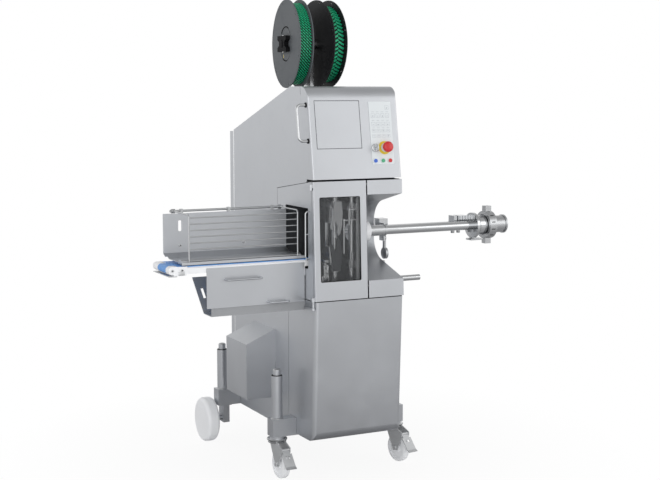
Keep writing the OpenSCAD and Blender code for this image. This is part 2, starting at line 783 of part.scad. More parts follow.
// Crosshead with an eye round each column of its pair, on a cross bar
module crosshead(x, z0, h) difference() {
    union() {
        for (y = column_pair_y) rod_z(guide_column_d + 18, z0, z0 + h, x, y);
        box(x - 12, x + 12, column_pair_y[0], column_pair_y[1], z0, z0 + h);
    }
    for (y = column_pair_y) rod_z(guide_column_d + 2 * fit, z0 - slack, z0 + h + slack, x, y);
}

ram_gap = 60;
module ram() difference() {
    union() {
        crosshead(ram_x, ram_gap + 45, 34);
        box(ram_x - 12, ram_x + 12, tube_y - 34, tube_y + 34, ram_gap, ram_gap + 50);
    }
    rod_x(24, ram_x - 50, ram_x + 50, tube_y, ram_gap);
}
module upper_ram() color(bright) translate([0, 0, tube_z]) ram();
module lower_ram() color(bright) translate([0, 0, tube_z]) mirror([0, 0, 1]) ram();

// Displacer: a plate with a notch that gathers the casing
module displacer() difference() {
    union() {
        crosshead(displacer_x, ram_gap + 60, 30);
        side_sheet([
            [tube_y - 80, ram_gap + 70], [tube_y - 70, ram_gap - 10], [tube_y - 30, ram_gap - 10],
            [tube_y, ram_gap + 30], [tube_y + 30, ram_gap - 10], [tube_y + 70, ram_gap - 10],
            [tube_y + 80, ram_gap + 70]
        ], displacer_x - 5, 10);
    }
}
module upper_displacer() color(bright) translate([0, 0, tube_z]) displacer();
module lower_displacer() color(bright) translate([0, 0, tube_z]) mirror([0, 0, 1]) displacer();

// Filling tube and its holders
module pipe(d0, d1, x0, x1) difference() {
    rod_x(d1, x0, x1, tube_y, tube_z);
    rod_x(d0, x0 - slack, x1 + slack, tube_y, tube_z);
}

// Guide rod with two clamps at its end; the wide one bears on the tube's flange
clamp_w = [16, 44];
clamp_x = [tube_end - clamp_w[1] - 8 - clamp_w[0], tube_end - clamp_w[1]];
clamp_side = guide_d / 2 + 8;
clamp_top = 42;
module guide_rod() color(bright) {
    rod_x(guide_d, wall_x, tube_end - 15, guide_y, tube_z);
    for (i = [0, 1])
        box(clamp_x[i], clamp_x[i] + clamp_w[i], guide_y - clamp_side, guide_y + clamp_side,
            tube_z - clamp_side, tube_z + clamp_top);
}

module filling_tube() color(bright) {
    bore = tube_d - 2 * tube_wall;
    pipe(bore, tube_d - 2 * fit, wall_x + 6, tube_end);
    difference() {
        union() {
            pipe(bore, 115, tube_end, tube_end + 14);
            pipe(bore, 70, tube_end + 14, tube_end + 26);
            pipe(bore, 87, tube_end + 26, hub_end);
        }
        translate([tube_end + 30, tube_y, tube_z]) rotate([0, 90, 0])
            cylinder(d1 = bore, d2 = stub_d - 2 * stub_wall, h = hub_end - tube_end - 30 + fit);
    }
}

stub_collar = 96;
module inlet_stub() color(bright) difference() {
    union() {
        pipe(stub_d - 2 * stub_wall, stub_d, hub_end, hub_end + 5 + stub_len);
        pipe(stub_d - 2 * stub_wall, stub_collar, hub_end, hub_end + 12);
        pipe(stub_d - 2 * stub_wall, stub_d + 8, hub_end + stub_len - 3, hub_end + stub_len + 5);
    }
}

module union_nut() color(bright) {
    x0 = hub_end - 6;
    difference() {
        union() {
            rod_x(125, x0, x0 + nut_len, tube_y, tube_z);
            for (a = [0, 180]) translate([x0, tube_y, tube_z]) rotate([a, 0, 0])
                translate([4, -15, 50]) cube([nut_len - 8, 30, 36]);
        }
        rod_x(stub_collar + 2 * fit, x0 - slack, hub_end + 12 + run, tube_y, tube_z);
        rod_x(stub_d + 2 * fit, x0, x0 + nut_len + slack, tube_y, tube_z);
    }
}

module docking_rod() color(bright) {
    rod_x(dock_d, body_w, body_w + dock_len, dock_y, dock_z);
    rod_x(dock_d + 14, body_w, body_w + 6, dock_y, dock_z);
}

// Casing brake: a soft ring on a sleeve, carried by a block that slides on the guide rod
carrier_x = [body_w + 4, body_w + 46];
carrier_y = guide_y - guide_d / 2 - 10;
sleeve_d = tube_d + 8;
lug_t = 6;
lever_y = tube_y + 10;
lever_z = tube_z - tube_d / 2 - 16;
lever_pin_d = 10;
module casing_brake() color(nylon) {
    pipe(tube_d + 2 * fit, ring_d, brake_x, brake_x + brake_len);
    pipe(tube_d + 2 * fit, sleeve_d, brake_x + brake_len, carrier_x[0]);
    difference() {
        union() {
            box(carrier_x[0], carrier_x[1], carrier_y, guide_y + guide_d / 2 + 7, tube_z - 20, tube_z + 46);
            box(carrier_x[0], carrier_x[0] + lug_t, lever_y - 14, carrier_y + slack,
                lever_z - 12, tube_z + 30);
            rod_x(sleeve_d + 4, carrier_x[0], carrier_x[0] + lug_t, tube_y, tube_z);
        }
        rod_x(tube_d + 2 * fit, 0, far / 3, tube_y, tube_z);
        rod_x(guide_d + 2 * fit, 0, far / 3, guide_y, tube_z);
    }
    rod_x(lever_pin_d, carrier_x[0] + lug_t, carrier_x[0] + lug_t + 12, lever_y, lever_z);
}

module brake_lever() color(bright) difference() {
    x0 = carrier_x[0] + lug_t + run;
    union() {
        rod_x(22, x0, x0 + 8, lever_y, lever_z);
        box(x0, x0 + 8, lever_y - 8, lever_y + 8, lever_z - 62, lever_z);
        rod_x(50, x0, x0 + 12, lever_y, lever_z - 68);
    }
    rod_x(lever_pin_d + 2 * fit, x0 - slack, x0 + 20, lever_y, lever_z);
}

// Discharge conveyor
module belt_ring(r, y0, y1) {
    for (x = [nose_x, drive_x]) rod_y(2 * r, y0, y1, x, belt_mid_z);
    box(nose_x, drive_x, y0, y1, belt_mid_z - r, belt_mid_z + r);
}

module conveyor_belt() color(belt_blue) difference() {
    belt_ring(nose_r, belt_y, belt_y + belt_w);
    belt_ring(nose_r - belt_t, belt_y - slack, belt_y + belt_w + slack);
}

roller_pin_d = 10;
bed_cheek_t = 6;
rail_drop = 8;
end_len = 64;
module bed_rail(y) difference() {
    union() {
        rod_y(2 * nose_r - 2, y, y + bed_cheek_t, nose_x, belt_mid_z);
        box(nose_x, nose_x + end_len, y, y + bed_cheek_t, belt_mid_z - nose_r + 1, belt_mid_z + nose_r - 1);
        box(nose_x, drive_x + 16, y, y + bed_cheek_t, belt_mid_z - nose_r + 1, belt_z - rail_drop);
        box(nose_x + 6, nose_x + end_len - 4, y, y + bed_cheek_t, belt_mid_z - nose_r - 6, belt_mid_z);
    }
    for (x = [nose_x, drive_x])
        rod_y(roller_pin_d + 2 * fit, y - slack, y + bed_cheek_t + slack, x, belt_mid_z);
}

module conveyor_bed() color(nylon) {
    bed_r = nose_r - belt_t;
    rails = [belt_y - run - bed_cheek_t, belt_y + belt_w + run];
    box(nose_x + roller_r + 4, drive_x - roller_r - 4, belt_y + run, belt_y + belt_w - run,
        belt_mid_z - bed_r + run, belt_mid_z + bed_r);
    for (y = rails) {
        bed_rail(y);
        box(-14, 0, y, y + bed_cheek_t, exit_z[0] - 30, belt_mid_z);
    }
    for (x = [nose_x + roller_r + 30, -60])
        box(x, x + 20, belt_y - run - slack, belt_y + belt_w + run + slack, belt_mid_z - 6, belt_mid_z + 6);
    box(nose_x + 6, nose_x + end_len - 4, rails[0] + slack, rails[1] + bed_cheek_t - slack,
        belt_mid_z - nose_r - 6, belt_mid_z - nose_r - 3);
}

module roller(x) {
    rod_y(2 * roller_r, belt_y + run, belt_y + belt_w - run, x, belt_mid_z);
    rod_y(roller_pin_d, belt_y - run - bed_cheek_t, belt_y + belt_w + run + bed_cheek_t, x, belt_mid_z);
}
module drive_roller() color(bright) roller(drive_x);
module nose_roller() color(nylon) roller(nose_x);

// Bent tray over the belt: low front lip, floor, slope and a tall rear guide
tray_x0 = -556;
tray_z = belt_z + 15;
tray_top = guard_z - 10;
tray_slot = [-490, 1078];
module guide_tray() color(steel) difference() {
    union() {
        side_sheet([
            [belt_y - 9, tray_z - 11], [belt_y - 6, tray_z - 11], [belt_y - 6, tray_z - sheet],
            [tray_y - 38, tray_z - sheet], [tray_y, tray_z + 14], [tray_y + sheet, tray_z + 14],
            [tray_y + sheet, tray_top], [tray_y, tray_top], [tray_y, tray_z + 18], [tray_y - 39, tray_z],
            [belt_y - 9, tray_z]
        ], tray_x0, -tray_x0);
        box(-sheet, 0, tray_y, tray_y + 40, tray_z + 30, tray_top - 10);
    }
    translate([tray_slot[0], tray_y - slack, tray_slot[1]]) round_slot(14, 46, 6, sheet + 2 * slack);
    box(tray_x0 - slack, tray_x0 + 10, belt_y - 20, tray_y - 20, tray_z - 20, tray_z + 10);
}

stop_pin_x = [-483, -198];
stop_pin_z = 1019;
module guard_rod() color(bright) {
    rod_x(hinge_rod_d, guard_x0 - 14, guard_x1 + 18, hinge_rod_y, guard_z);
    for (x = [guard_x0 + 30, (guard_x0 + guard_x1) / 2, guard_x1 - 42])
        box(x, x + 12, hinge_rod_y - 8, hinge_rod_y + 8, tray_top, guard_z + 8);
    for (x = stop_pin_x) rod_y(12, tray_y - 4, tray_y, x, stop_pin_z);
}

// Quarter turn of bent wire, from +X to +Y
wire_bend = 12;
module quarter_bend() rotate_extrude(angle = 90) translate([wire_bend, 0]) circle(d = wire_d);

// Wire guard: eyes on the hinge rod, two bent side wires and the cross wires
module wire_corner(x) {
    rod_y(wire_d, guard_y + wire_bend, hinge_rod_y - 7, x, guard_z);
    rod_z(wire_d, guard_low - wire_d / 2, guard_z - wire_bend, x, guard_y);
    translate([x, guard_y + wire_bend, guard_z - wire_bend]) rotate([90, 0, -90]) quarter_bend();
}

module wire_guard() color(bright) {
    for (x = [guard_x0, guard_x1]) {
        difference() {
            rod_x(18, x - 8, x + 8, hinge_rod_y, guard_z);
            rod_x(hinge_rod_d + 2 * fit, x - 9, x + 9, hinge_rod_y, guard_z);
        }
        wire_corner(x);
    }
    cross_d = wire_d - 1;
    pitch = 25.7;
    for (z = [guard_low, for (i = [0 : wire_count]) guard_z - wire_bend - pitch * i])
        rod_x(cross_d, guard_x0, guard_x1, guard_y, z);
}

loop_x = -20;
loop_z = [962, 1065, 1160];
module flank_loop() color(bright) {
    y = exit_y[0] - 15;
    rod_x(wire_d - 1, loop_x, 0, y, loop_z[1]);
    rod_z(wire_d, loop_z[0] + wire_bend, loop_z[2] - wire_bend, loop_x, y);
    for (end = [0, 2]) {
        rod_x(wire_d, loop_x + wire_bend, 0, y, loop_z[end]);
        translate([loop_x + wire_bend, y, loop_z[end]]) mirror([0, 0, end > 0 ? 0 : 1])
            translate([0, 0, -wire_bend]) rotate([90, 0, 180]) quarter_bend();
    }
}

// Trough under the belt
trough_x1 = -4;
trough_x0 = trough_x1 - trough_len;
module trough_panel() color(steel) {
    box(trough_x0, trough_x1, trough_y, trough_y + sheet, trough_z0, trough_z0 + trough_h);
    translate([-283, trough_y, trough_z0 + 116]) bow(8, 155, 28);
    translate([-127, trough_y, trough_z0 + 10]) bow(8, 86, 28);
}

tray_low = trough_z0 - 35;
module trough_tray() color(steel) {
    back = trough_y + sheet;
    difference() {
        side_sheet([
            [back, tray_low], [back + 88, tray_low], [back + 222, tray_low + 133],
            [back + 218, tray_low + 136], [back + 87, tray_low + sheet], [back + sheet, tray_low + sheet],
            [back + sheet, tray_low + 60], [back, tray_low + 60]
        ], trough_x0 + 20, trough_x1 - trough_x0 - 20);
        for (x = [trough_x0 + 40, trough_x0 + 90])
            translate([x, back + 140, tray_low]) cube([12, 40, 100]);
    }
    side_sheet([[back, tray_low], [back + 88, tray_low], [back + 222, tray_low + 133],
        [back, tray_low + 133]], trough_x1, -trough_x1);
}

// Drive: motor in the side bump, gearbox on the floor pan
module drive_unit() color(dark_steel) {
    mid = [(motor_y[0] + motor_y[1]) / 2, (motor_z0 + motor_z1) / 2];
    gear_top = 520;
    rod_x(150, -motor_out + 25, 190, mid[0], mid[1]);
    for (x = [-80 : 20 : 160]) rod_x(164, x, x + 5, mid[0], mid[1]);
    box(190, 350, mid[0] - 80, mid[0] + 80, beam_top + sheet, gear_top);
    rod_z(60, gear_top, knee_z - 40, 270, mid[0]);
}

// Spools on a post: flanged drums with a clip winding
module spool_place(side) {
    x = side > 0 ? post_x0 + post_t : post_x0;
    translate([x, spool_y, spool_z]) rotate([0, 0, side > 0 ? 0 : -spool_toe])
        rotate([0, side > 0 ? 90 : -90, 0]) children();
}

stand_off = [38, 22];
module spool_axle(i) {
    end = stand_off[i] + spool_w + spool_gap;
    cylinder(d = axle_d - 2 * fit, h = end);
    cylinder(d = axle_d + 16, h = stand_off[i] - run);
    translate([0, 0, end]) difference() {
        cylinder(d = 76, h = 8);
        for (s = [-1, 1]) translate([0, s * 38, -slack]) cylinder(d = 46, h = 20);
    }
}

module spool_post() color(bright) {
    intersection() {
        box(post_x0, post_x0 + post_t, spool_y - post_half, spool_y + post_half, rear_z, spool_z + 34);
        side_sheet([
            [spool_y - post_half, top_line(spool_y - post_half)],
            [spool_y + post_half, top_line(spool_y + post_half)],
            [spool_y + post_half, spool_z + 34], [spool_y - post_half, spool_z + 34]
        ], post_x0, post_t);
    }
    spool_place(-1) spool_axle(0);
    spool_place(1) spool_axle(1);
}

module spool(i) translate([0, 0, stand_off[i]]) difference() {
    union() {
        cylinder(d = 200, h = spool_w);
        for (z = [0, spool_w - flange_t]) translate([0, 0, z]) cylinder(d = spool_d, h = flange_t);
    }
    translate([0, 0, -slack]) cylinder(d = axle_d, h = spool_w + 2 * slack);
    translate([0, 0, spool_w - 1.5]) difference() {
        cylinder(d = hub_line_d + 6, h = 10);
        translate([0, 0, -slack]) cylinder(d = hub_line_d, h = 20);
    }
    for (a = [0 : 60 : 300]) rotate([0, 0, a + 12]) translate([spool_d / 2 - 12, 0, -slack])
        cylinder(d = 9, h = spool_w + 2 * slack);
}

module winding(i, fill) translate([0, 0, stand_off[i] + flange_t]) difference() {
    cylinder(d = spool_d * fill, h = spool_w - 2 * flange_t);
    translate([0, 0, -slack]) cylinder(d = 200, h = spool_w);
}
module spool_left() color(spool_grey) spool_place(-1) spool(0);
module spool_right() color(spool_grey) spool_place(1) spool(1);
module winding_left() color(clip_green) spool_place(-1) winding(0, 0.925);
module winding_right() color(clip_green) spool_place(1) winding(1, 0.87);

// Everything stands about the middle of its footprint
module placed() translate([-origin_x, -origin_y, 0]) children();

placed() base_frame();
placed() leg_columns();
placed() side_panel_left();
placed() side_panel_right();
placed() cheek_left();
placed() throat_housing();
placed() chamber_walls();
placed() lower_front_cover();
placed() motor_cover();
placed() rear_cover();
placed() top_cover();
placed() hinge_brackets();
placed() spool_post();
placed() clip_rails();
placed() guide_columns();
placed() guide_rod();
placed() filling_tube();
placed() inlet_stub();
placed() docking_rod();
placed() conveyor_bed();
placed() conveyor_belt();
placed() guide_tray();
placed() guard_rod();
placed() flank_loop();
placed() trough_panel();
placed() trough_tray();
placed() drive_unit();
placed() clip_door();
placed() window_pane();
placed() control_door();
placed() keypad();
placed() pull_handle();
placed() switch_collars();
placed() estop_head();
placed() key_switch();
placed() button_blue();
placed() button_green();
placed() button_red();
placed() caster_fork_left();
placed() caster_fork_right();
placed() caster_wheel_left();
placed() caster_wheel_right();
placed() caster_brake_left();
placed() caster_brake_right();
placed() rear_wheel_left();
placed() rear_wheel_right();
placed() wire_guard();
placed() drive_roller();
placed() nose_roller();
placed() spool_left();
placed() winding_left();
placed() spool_right();
placed() winding_right();
placed() casing_brake();
placed() brake_lever();
placed() union_nut();
placed() upper_ram();
placed() lower_ram();
placed() upper_displacer();
placed() lower_displacer();
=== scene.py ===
"""Looks of an automatic clipper for sausage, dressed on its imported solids.

Every piece is in metres in the frame of the solids: X along the product path to the filling tube's
inlet, Y to the rear, Z up from the floor.
"""
import functools
import json
import math

import bmesh
import bpy
from mathutils import Matrix, Vector


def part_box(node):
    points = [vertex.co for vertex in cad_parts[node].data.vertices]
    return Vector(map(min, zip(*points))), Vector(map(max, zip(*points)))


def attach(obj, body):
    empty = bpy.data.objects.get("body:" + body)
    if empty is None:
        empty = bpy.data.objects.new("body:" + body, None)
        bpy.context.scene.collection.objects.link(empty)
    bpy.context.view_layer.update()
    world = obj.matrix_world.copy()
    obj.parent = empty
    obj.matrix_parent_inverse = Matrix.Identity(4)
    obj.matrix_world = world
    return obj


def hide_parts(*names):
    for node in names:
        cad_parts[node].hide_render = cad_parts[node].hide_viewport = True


bl_info = {
    "name": "Sausage clipper looks",
    "version": (1, 0, 0),
    "blender": (4, 5, 0),
    "location": "View3D > Sidebar > Clipper",
    "description": "Dresses the solids of a sausage clipper with finishes, fittings and a studio",
    "category": "Object",
}

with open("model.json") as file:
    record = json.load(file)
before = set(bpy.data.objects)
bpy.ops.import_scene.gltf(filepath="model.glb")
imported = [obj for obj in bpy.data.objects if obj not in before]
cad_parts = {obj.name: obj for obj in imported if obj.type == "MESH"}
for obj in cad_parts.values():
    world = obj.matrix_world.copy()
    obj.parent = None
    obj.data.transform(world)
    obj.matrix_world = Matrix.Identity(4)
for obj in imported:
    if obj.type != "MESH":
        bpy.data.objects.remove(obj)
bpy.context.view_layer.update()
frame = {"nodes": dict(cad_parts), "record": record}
NODES = frame["nodes"]
MM = 0.001

# The housing's own frame starts at its left flank, its knee and the floor
PANEL_DEPTH = 876
FLANK_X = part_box("side_panel_left")[0].x
KNEE_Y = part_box("side_panel_left")[1].y - PANEL_DEPTH * MM
HOOD_FOOT = (23, 1286)
HOOD_TILT = math.atan2(63, 390)
DOOR_FOOT = (0, 786)
DOOR_TILT = math.atan2(23, 500)

# Places and sizes in millimetres that pieces share; side -1 is the left spool's and 1 the right's
TUBE_Y = 190
TUBE_Z = 1050
COLUMN_X = (-78, 498)
COLUMN_Y = (223, 855)
SPOOL_Y = 505
SPOOL_Z = 1865
SPOOL_TOE = math.radians(6)
FLANGE_THICK = 4
WINDING_WIDE = 56
STAND_OFF = {-1: 38, 1: 22}
KEYPAD_FACE = -1.5
PRINT_FACES = (-1.62, -1.45)
KEY_LINE = 0.7
BELT_RUN = 570
NOSE_X = -586
NOSE_Z = 941
NOSE_RADIUS = 16.5
NOSE_LIMIT = -602.0

# Shared grains, depth of relief in metres, and the angle in degrees past which an edge stays sharp
BLASTED = "Blasted grain"
DRAWN = "Drawn grain"
MARKS = "Handling marks"
BUMP_DEPTH = 0.0004
SMOOTH_ANGLE = 35.0

# Name, place, target, size and power of each lamp, the camera, and the rays that see the background
LAMPS = (
    ("Key lamp", (-2.0, -5.0, 2.2), (0, 0, 1.1), 4.4, 55),
    ("Fill lamp", (3.6, -3.4, 2.6), (0, 0, 1.2), 2.6, 25),
    ("Rear lamp", (-1.5, 4.2, 3.4), (0, 0, 1.0), 2.6, 4),
)
EYE_PLACE = (-2287, -4710, 1651)
EYE_TURN = (83.42, 0, -26.55)
EYE_LENS = 69.80
DIRECT_RAYS = (("Is Camera Ray", 1.0), ("Is Transmission Ray", 1.0))


def at(x, y, z):
    """A point given in the housing's millimetres, in the frame of the solids."""
    return Vector((FLANK_X + x * MM, KNEE_Y + y * MM, z * MM))


def tilted(y, z, tilt):
    """Frame on a front plane that leans back by tilt: X across, Y inwards, Z up the plane."""
    return Matrix.Translation(at(0, y, z)) @ Matrix.Rotation(-tilt, 4, "X")


HOOD = tilted(*HOOD_FOOT, HOOD_TILT)
DOOR = tilted(*DOOR_FOOT, DOOR_TILT)
FLAT = Matrix.Translation(at(0, 0, 0))


def local(x, y, z):
    return Vector((x * MM, y * MM, z * MM))


# Sizes and colours that a user would change


def colour_prop(name, default, text):
    return bpy.props.FloatVectorProperty(
        name=name, description=text, subtype="COLOR", size=4, min=0, max=1, default=(*default, 1)
    )


def length_prop(name, default, text):
    return bpy.props.FloatProperty(
        name=name, description=text, subtype="DISTANCE", unit="LENGTH", min=0, default=default
    )


def count_prop(name, default, text, least):
    return bpy.props.IntProperty(name=name, description=text, min=least, default=default)


class ClipperFinish(bpy.types.PropertyGroup):
    """Colours of the finishes."""

    steel: colour_prop("Blasted steel", (0.56, 0.575, 0.60), "Housing sheet")
    bright: colour_prop("Bright steel", (0.58, 0.59, 0.60), "Bar and tube")
    wire: colour_prop("Drawn wire", (0.52, 0.53, 0.54), "Wire of the guard")
    # Dark steel of the chamber walls, also painted shade on the lower gathering plate and in the louvre
    # slots
    inner: colour_prop("Dark steel and painted shade", (0.075, 0.078, 0.084), "Walls of the clip chamber")
    nylon: colour_prop("Nylon", (0.94, 0.95, 0.97), "Wheels and conveyor rails")
    belt: colour_prop("Belt", (0.13, 0.36, 0.80), "Discharge belt")
    strand: colour_prop("Clip strand", (0.012, 0.42, 0.20), "Coating of the clips")
    flange: colour_prop("Left spool", (0.115, 0.125, 0.135), "Grey spool plastic")
    # Dark plastic of the right spool, washers, gasket and column rings, also painted shade in the seams,
    # screw sockets and the nut's slots
    dark: colour_prop("Dark plastic and painted shade", (0.012, 0.012, 0.014), "Right spool, washers and seals")
    keypad: colour_prop("Keypad", (0.76, 0.80, 0.82), "Membrane keypad")
    stop: colour_prop("Stop red", (0.60, 0.018, 0.022), "Mushroom head and red button")
    yellow: colour_prop("Collar yellow", (0.78, 0.58, 0.03), "Collar of the stop button")
    blue: colour_prop("Button blue", (0.05, 0.15, 0.62), "Left push button")
    green: colour_prop("Button green", (0.08, 0.42, 0.22), "Middle push button")


class ClipperSizes(bpy.types.PropertyGroup):
    """Counts and sizes of what repeats."""

    left_clips: count_prop("Left clips", 84, "Clips in one turn of a left strand", 20)
    right_clips: count_prop("Right clips", 58, "Clips in one turn of a right strand", 20)
    belt_pitch: length_prop("Belt pitch", 0.0125, "Distance between the belt's hinge lines")
    screw_head: length_prop("Screw head", 0.0055, "Radius of the cover screws")
    louvre_count: count_prop("Louvres", 9, "Cooling slots in one field of the rear cover", 2)


def sizes():
    return bpy.context.scene.clipper_sizes


# Node tools and shader groups


def shader_group(name, inputs, outputs):
    """Empty shader group with its number sockets, ready for nodes."""
    group = bpy.data.node_groups.new(name, "ShaderNodeTree")
    for label, default in inputs:
        socket = group.interface.new_socket(label, in_out="INPUT", socket_type="NodeSocketFloat")
        socket.default_value = default
    for label in outputs:
        group.interface.new_socket(label, in_out="OUTPUT", socket_type="NodeSocketFloat")
    return group, group.nodes.new("NodeGroupInput"), group.nodes.new("NodeGroupOutput")


def add(tree, kind, **inputs):
    """Adds a node, with sockets set to values or linked to outputs."""
    node = tree.nodes.new(kind)
    for label, value in inputs.items():
        feed(tree, node.inputs[label.replace("_", " ")], value)
    return node


def feed(tree, socket, value):
    """Links a socket to an output, or sets it to a value."""
    if isinstance(value, bpy.types.NodeSocket):
        tree.links.new(value, socket)
    else:
        socket.default_value = value


def result(tree, kind, **inputs):
    """First output of an added node."""
    return add(tree, kind, **inputs).outputs[0]


def noise(tree, vector, scale, detail=2.0, rough=0.5):
    return result(tree, "ShaderNodeTexNoise", Vector=vector, Scale=scale, Detail=detail, Roughness=rough)


def ramp(tree, value, low, high, to_low=0.0, to_high=1.0):
    return result(tree, "ShaderNodeMapRange", Value=value, From_Min=low, From_Max=high,
                  To_Min=to_low, To_Max=to_high)


def math_node(tree, kind, *values):
    node = tree.nodes.new("ShaderNodeMath")
    node.operation = kind
    for socket, value in zip(node.inputs, values):
        feed(tree, socket, value)
    return node.outputs["Value"]


def object_place(tree):
    return add(tree, "ShaderNodeTexCoord").outputs["Object"]


def make_groups():
    """Blasted grain, drawn grain and handling marks, shared by the finishes."""
    groups = {}
    for label, scale in ((BLASTED, (1, 1, 1)), (DRAWN, (0.03, 1, 1))):
        tree, gin, gout = shader_group(
            label,
            [("Scale", 900.0), ("Low Roughness", 0.3), ("High Roughness", 0.4)],
            ["Tone", "Roughness", "Height"],
        )
        coords = object_place(tree)
        drawn = result(tree, "ShaderNodeMapping", Vector=coords, Scale=scale)
        fine = noise(tree, drawn, gin.outputs["Scale"], 3.0, 0.6)
        cloud = math_node(tree, "MULTIPLY", noise(tree, coords, 3.5, 3.0), 0.7)
        tone = math_node(tree, "ADD", cloud, math_node(tree, "MULTIPLY", fine, 0.3))
        rough = ramp(tree, tone, 0.35, 0.65, gin.outputs["Low Roughness"], gin.outputs["High Roughness"])
        tree.links.new(ramp(tree, tone, 0.3, 0.7), gout.inputs["Tone"])
        tree.links.new(rough, gout.inputs["Roughness"])
        tree.links.new(fine, gout.inputs["Height"])
        groups[label] = tree
    tree, gin, gout = shader_group(MARKS, [("Scale", 14.0), ("Amount", 0.4)], ["Mark"])
    smear = ramp(tree, noise(tree, object_place(tree), gin.outputs["Scale"], 4.0, 0.65), 0.52, 0.72)
    tree.links.new(math_node(tree, "MULTIPLY", smear, gin.outputs["Amount"]), gout.inputs["Mark"])
    groups[MARKS] = tree
    return groups


GROUPS = {}
FINISHES = {}


def principled(name, colour, metallic=0.0, roughness=0.5, **plain):
    """Material with constants on its shader's own sockets."""
    material = bpy.data.materials.new(name)
    material.use_nodes = True
    shader = material.node_tree.nodes["Principled BSDF"]
    shader.inputs["Base Color"].default_value = colour
    shader.inputs["Metallic"].default_value = metallic
    shader.inputs["Roughness"].default_value = roughness
    for label, value in plain.items():
        shader.inputs[label.replace("_", " ")].default_value = value
    FINISHES[name] = material
    return material.node_tree, shader


def mixed(tree, factor, colour, other):
    node = tree.nodes.new("ShaderNodeMix")
    node.data_type = "RGBA"
    tree.links.new(factor, node.inputs["Factor"])
    node.inputs[6].default_value = colour
    node.inputs[7].default_value = other
    return node.outputs[2]


def scaled(colour, factor):
    return (*(min(1.0, c * factor) for c in colour[:3]), 1)


def bumped(tree, shader, height, strength):
    node = add(tree, "ShaderNodeBump", Strength=strength, Distance=BUMP_DEPTH, Height=height)
    tree.links.new(node.outputs["Normal"], shader.inputs["Normal"])


def group_outputs(tree, label, **inputs):
    """Places a shared group in a material with its own values."""
    node = tree.nodes.new("ShaderNodeGroup")
    node.node_tree = GROUPS[label]
    for name, value in inputs.items():
        node.inputs[name.replace("_", " ")].default_value = value
    return node.outputs


def grained(name, colour, grain, scale, rough, metallic, bump, marks=0.0, spread=0.06, **plain):
    """A finish with grain in its colour, roughness and relief, and handling marks where asked.

    rough holds the lowest and highest roughness, and spread is how far the colour varies.
    """
    colour = tuple(colour)
    tree, shader = principled(name, colour, metallic, **plain)
    low, high = rough
    grains = group_outputs(tree, grain, Scale=scale, Low_Roughness=low, High_Roughness=high)
    base = mixed(tree, grains["Tone"], scaled(colour, 1 - spread), scaled(colour, 1 + spread))
    roughness = grains["Roughness"]
    if marks:
        smear = group_outputs(tree, MARKS, Amount=marks)["Mark"]
        roughness = math_node(tree, "ADD", roughness, math_node(tree, "MULTIPLY", smear, 0.12))
    tree.links.new(base, shader.inputs["Base Color"])
    tree.links.new(roughness, shader.inputs["Roughness"])
    if bump:
        bumped(tree, shader, grains["Height"], bump)
    return tree, shader


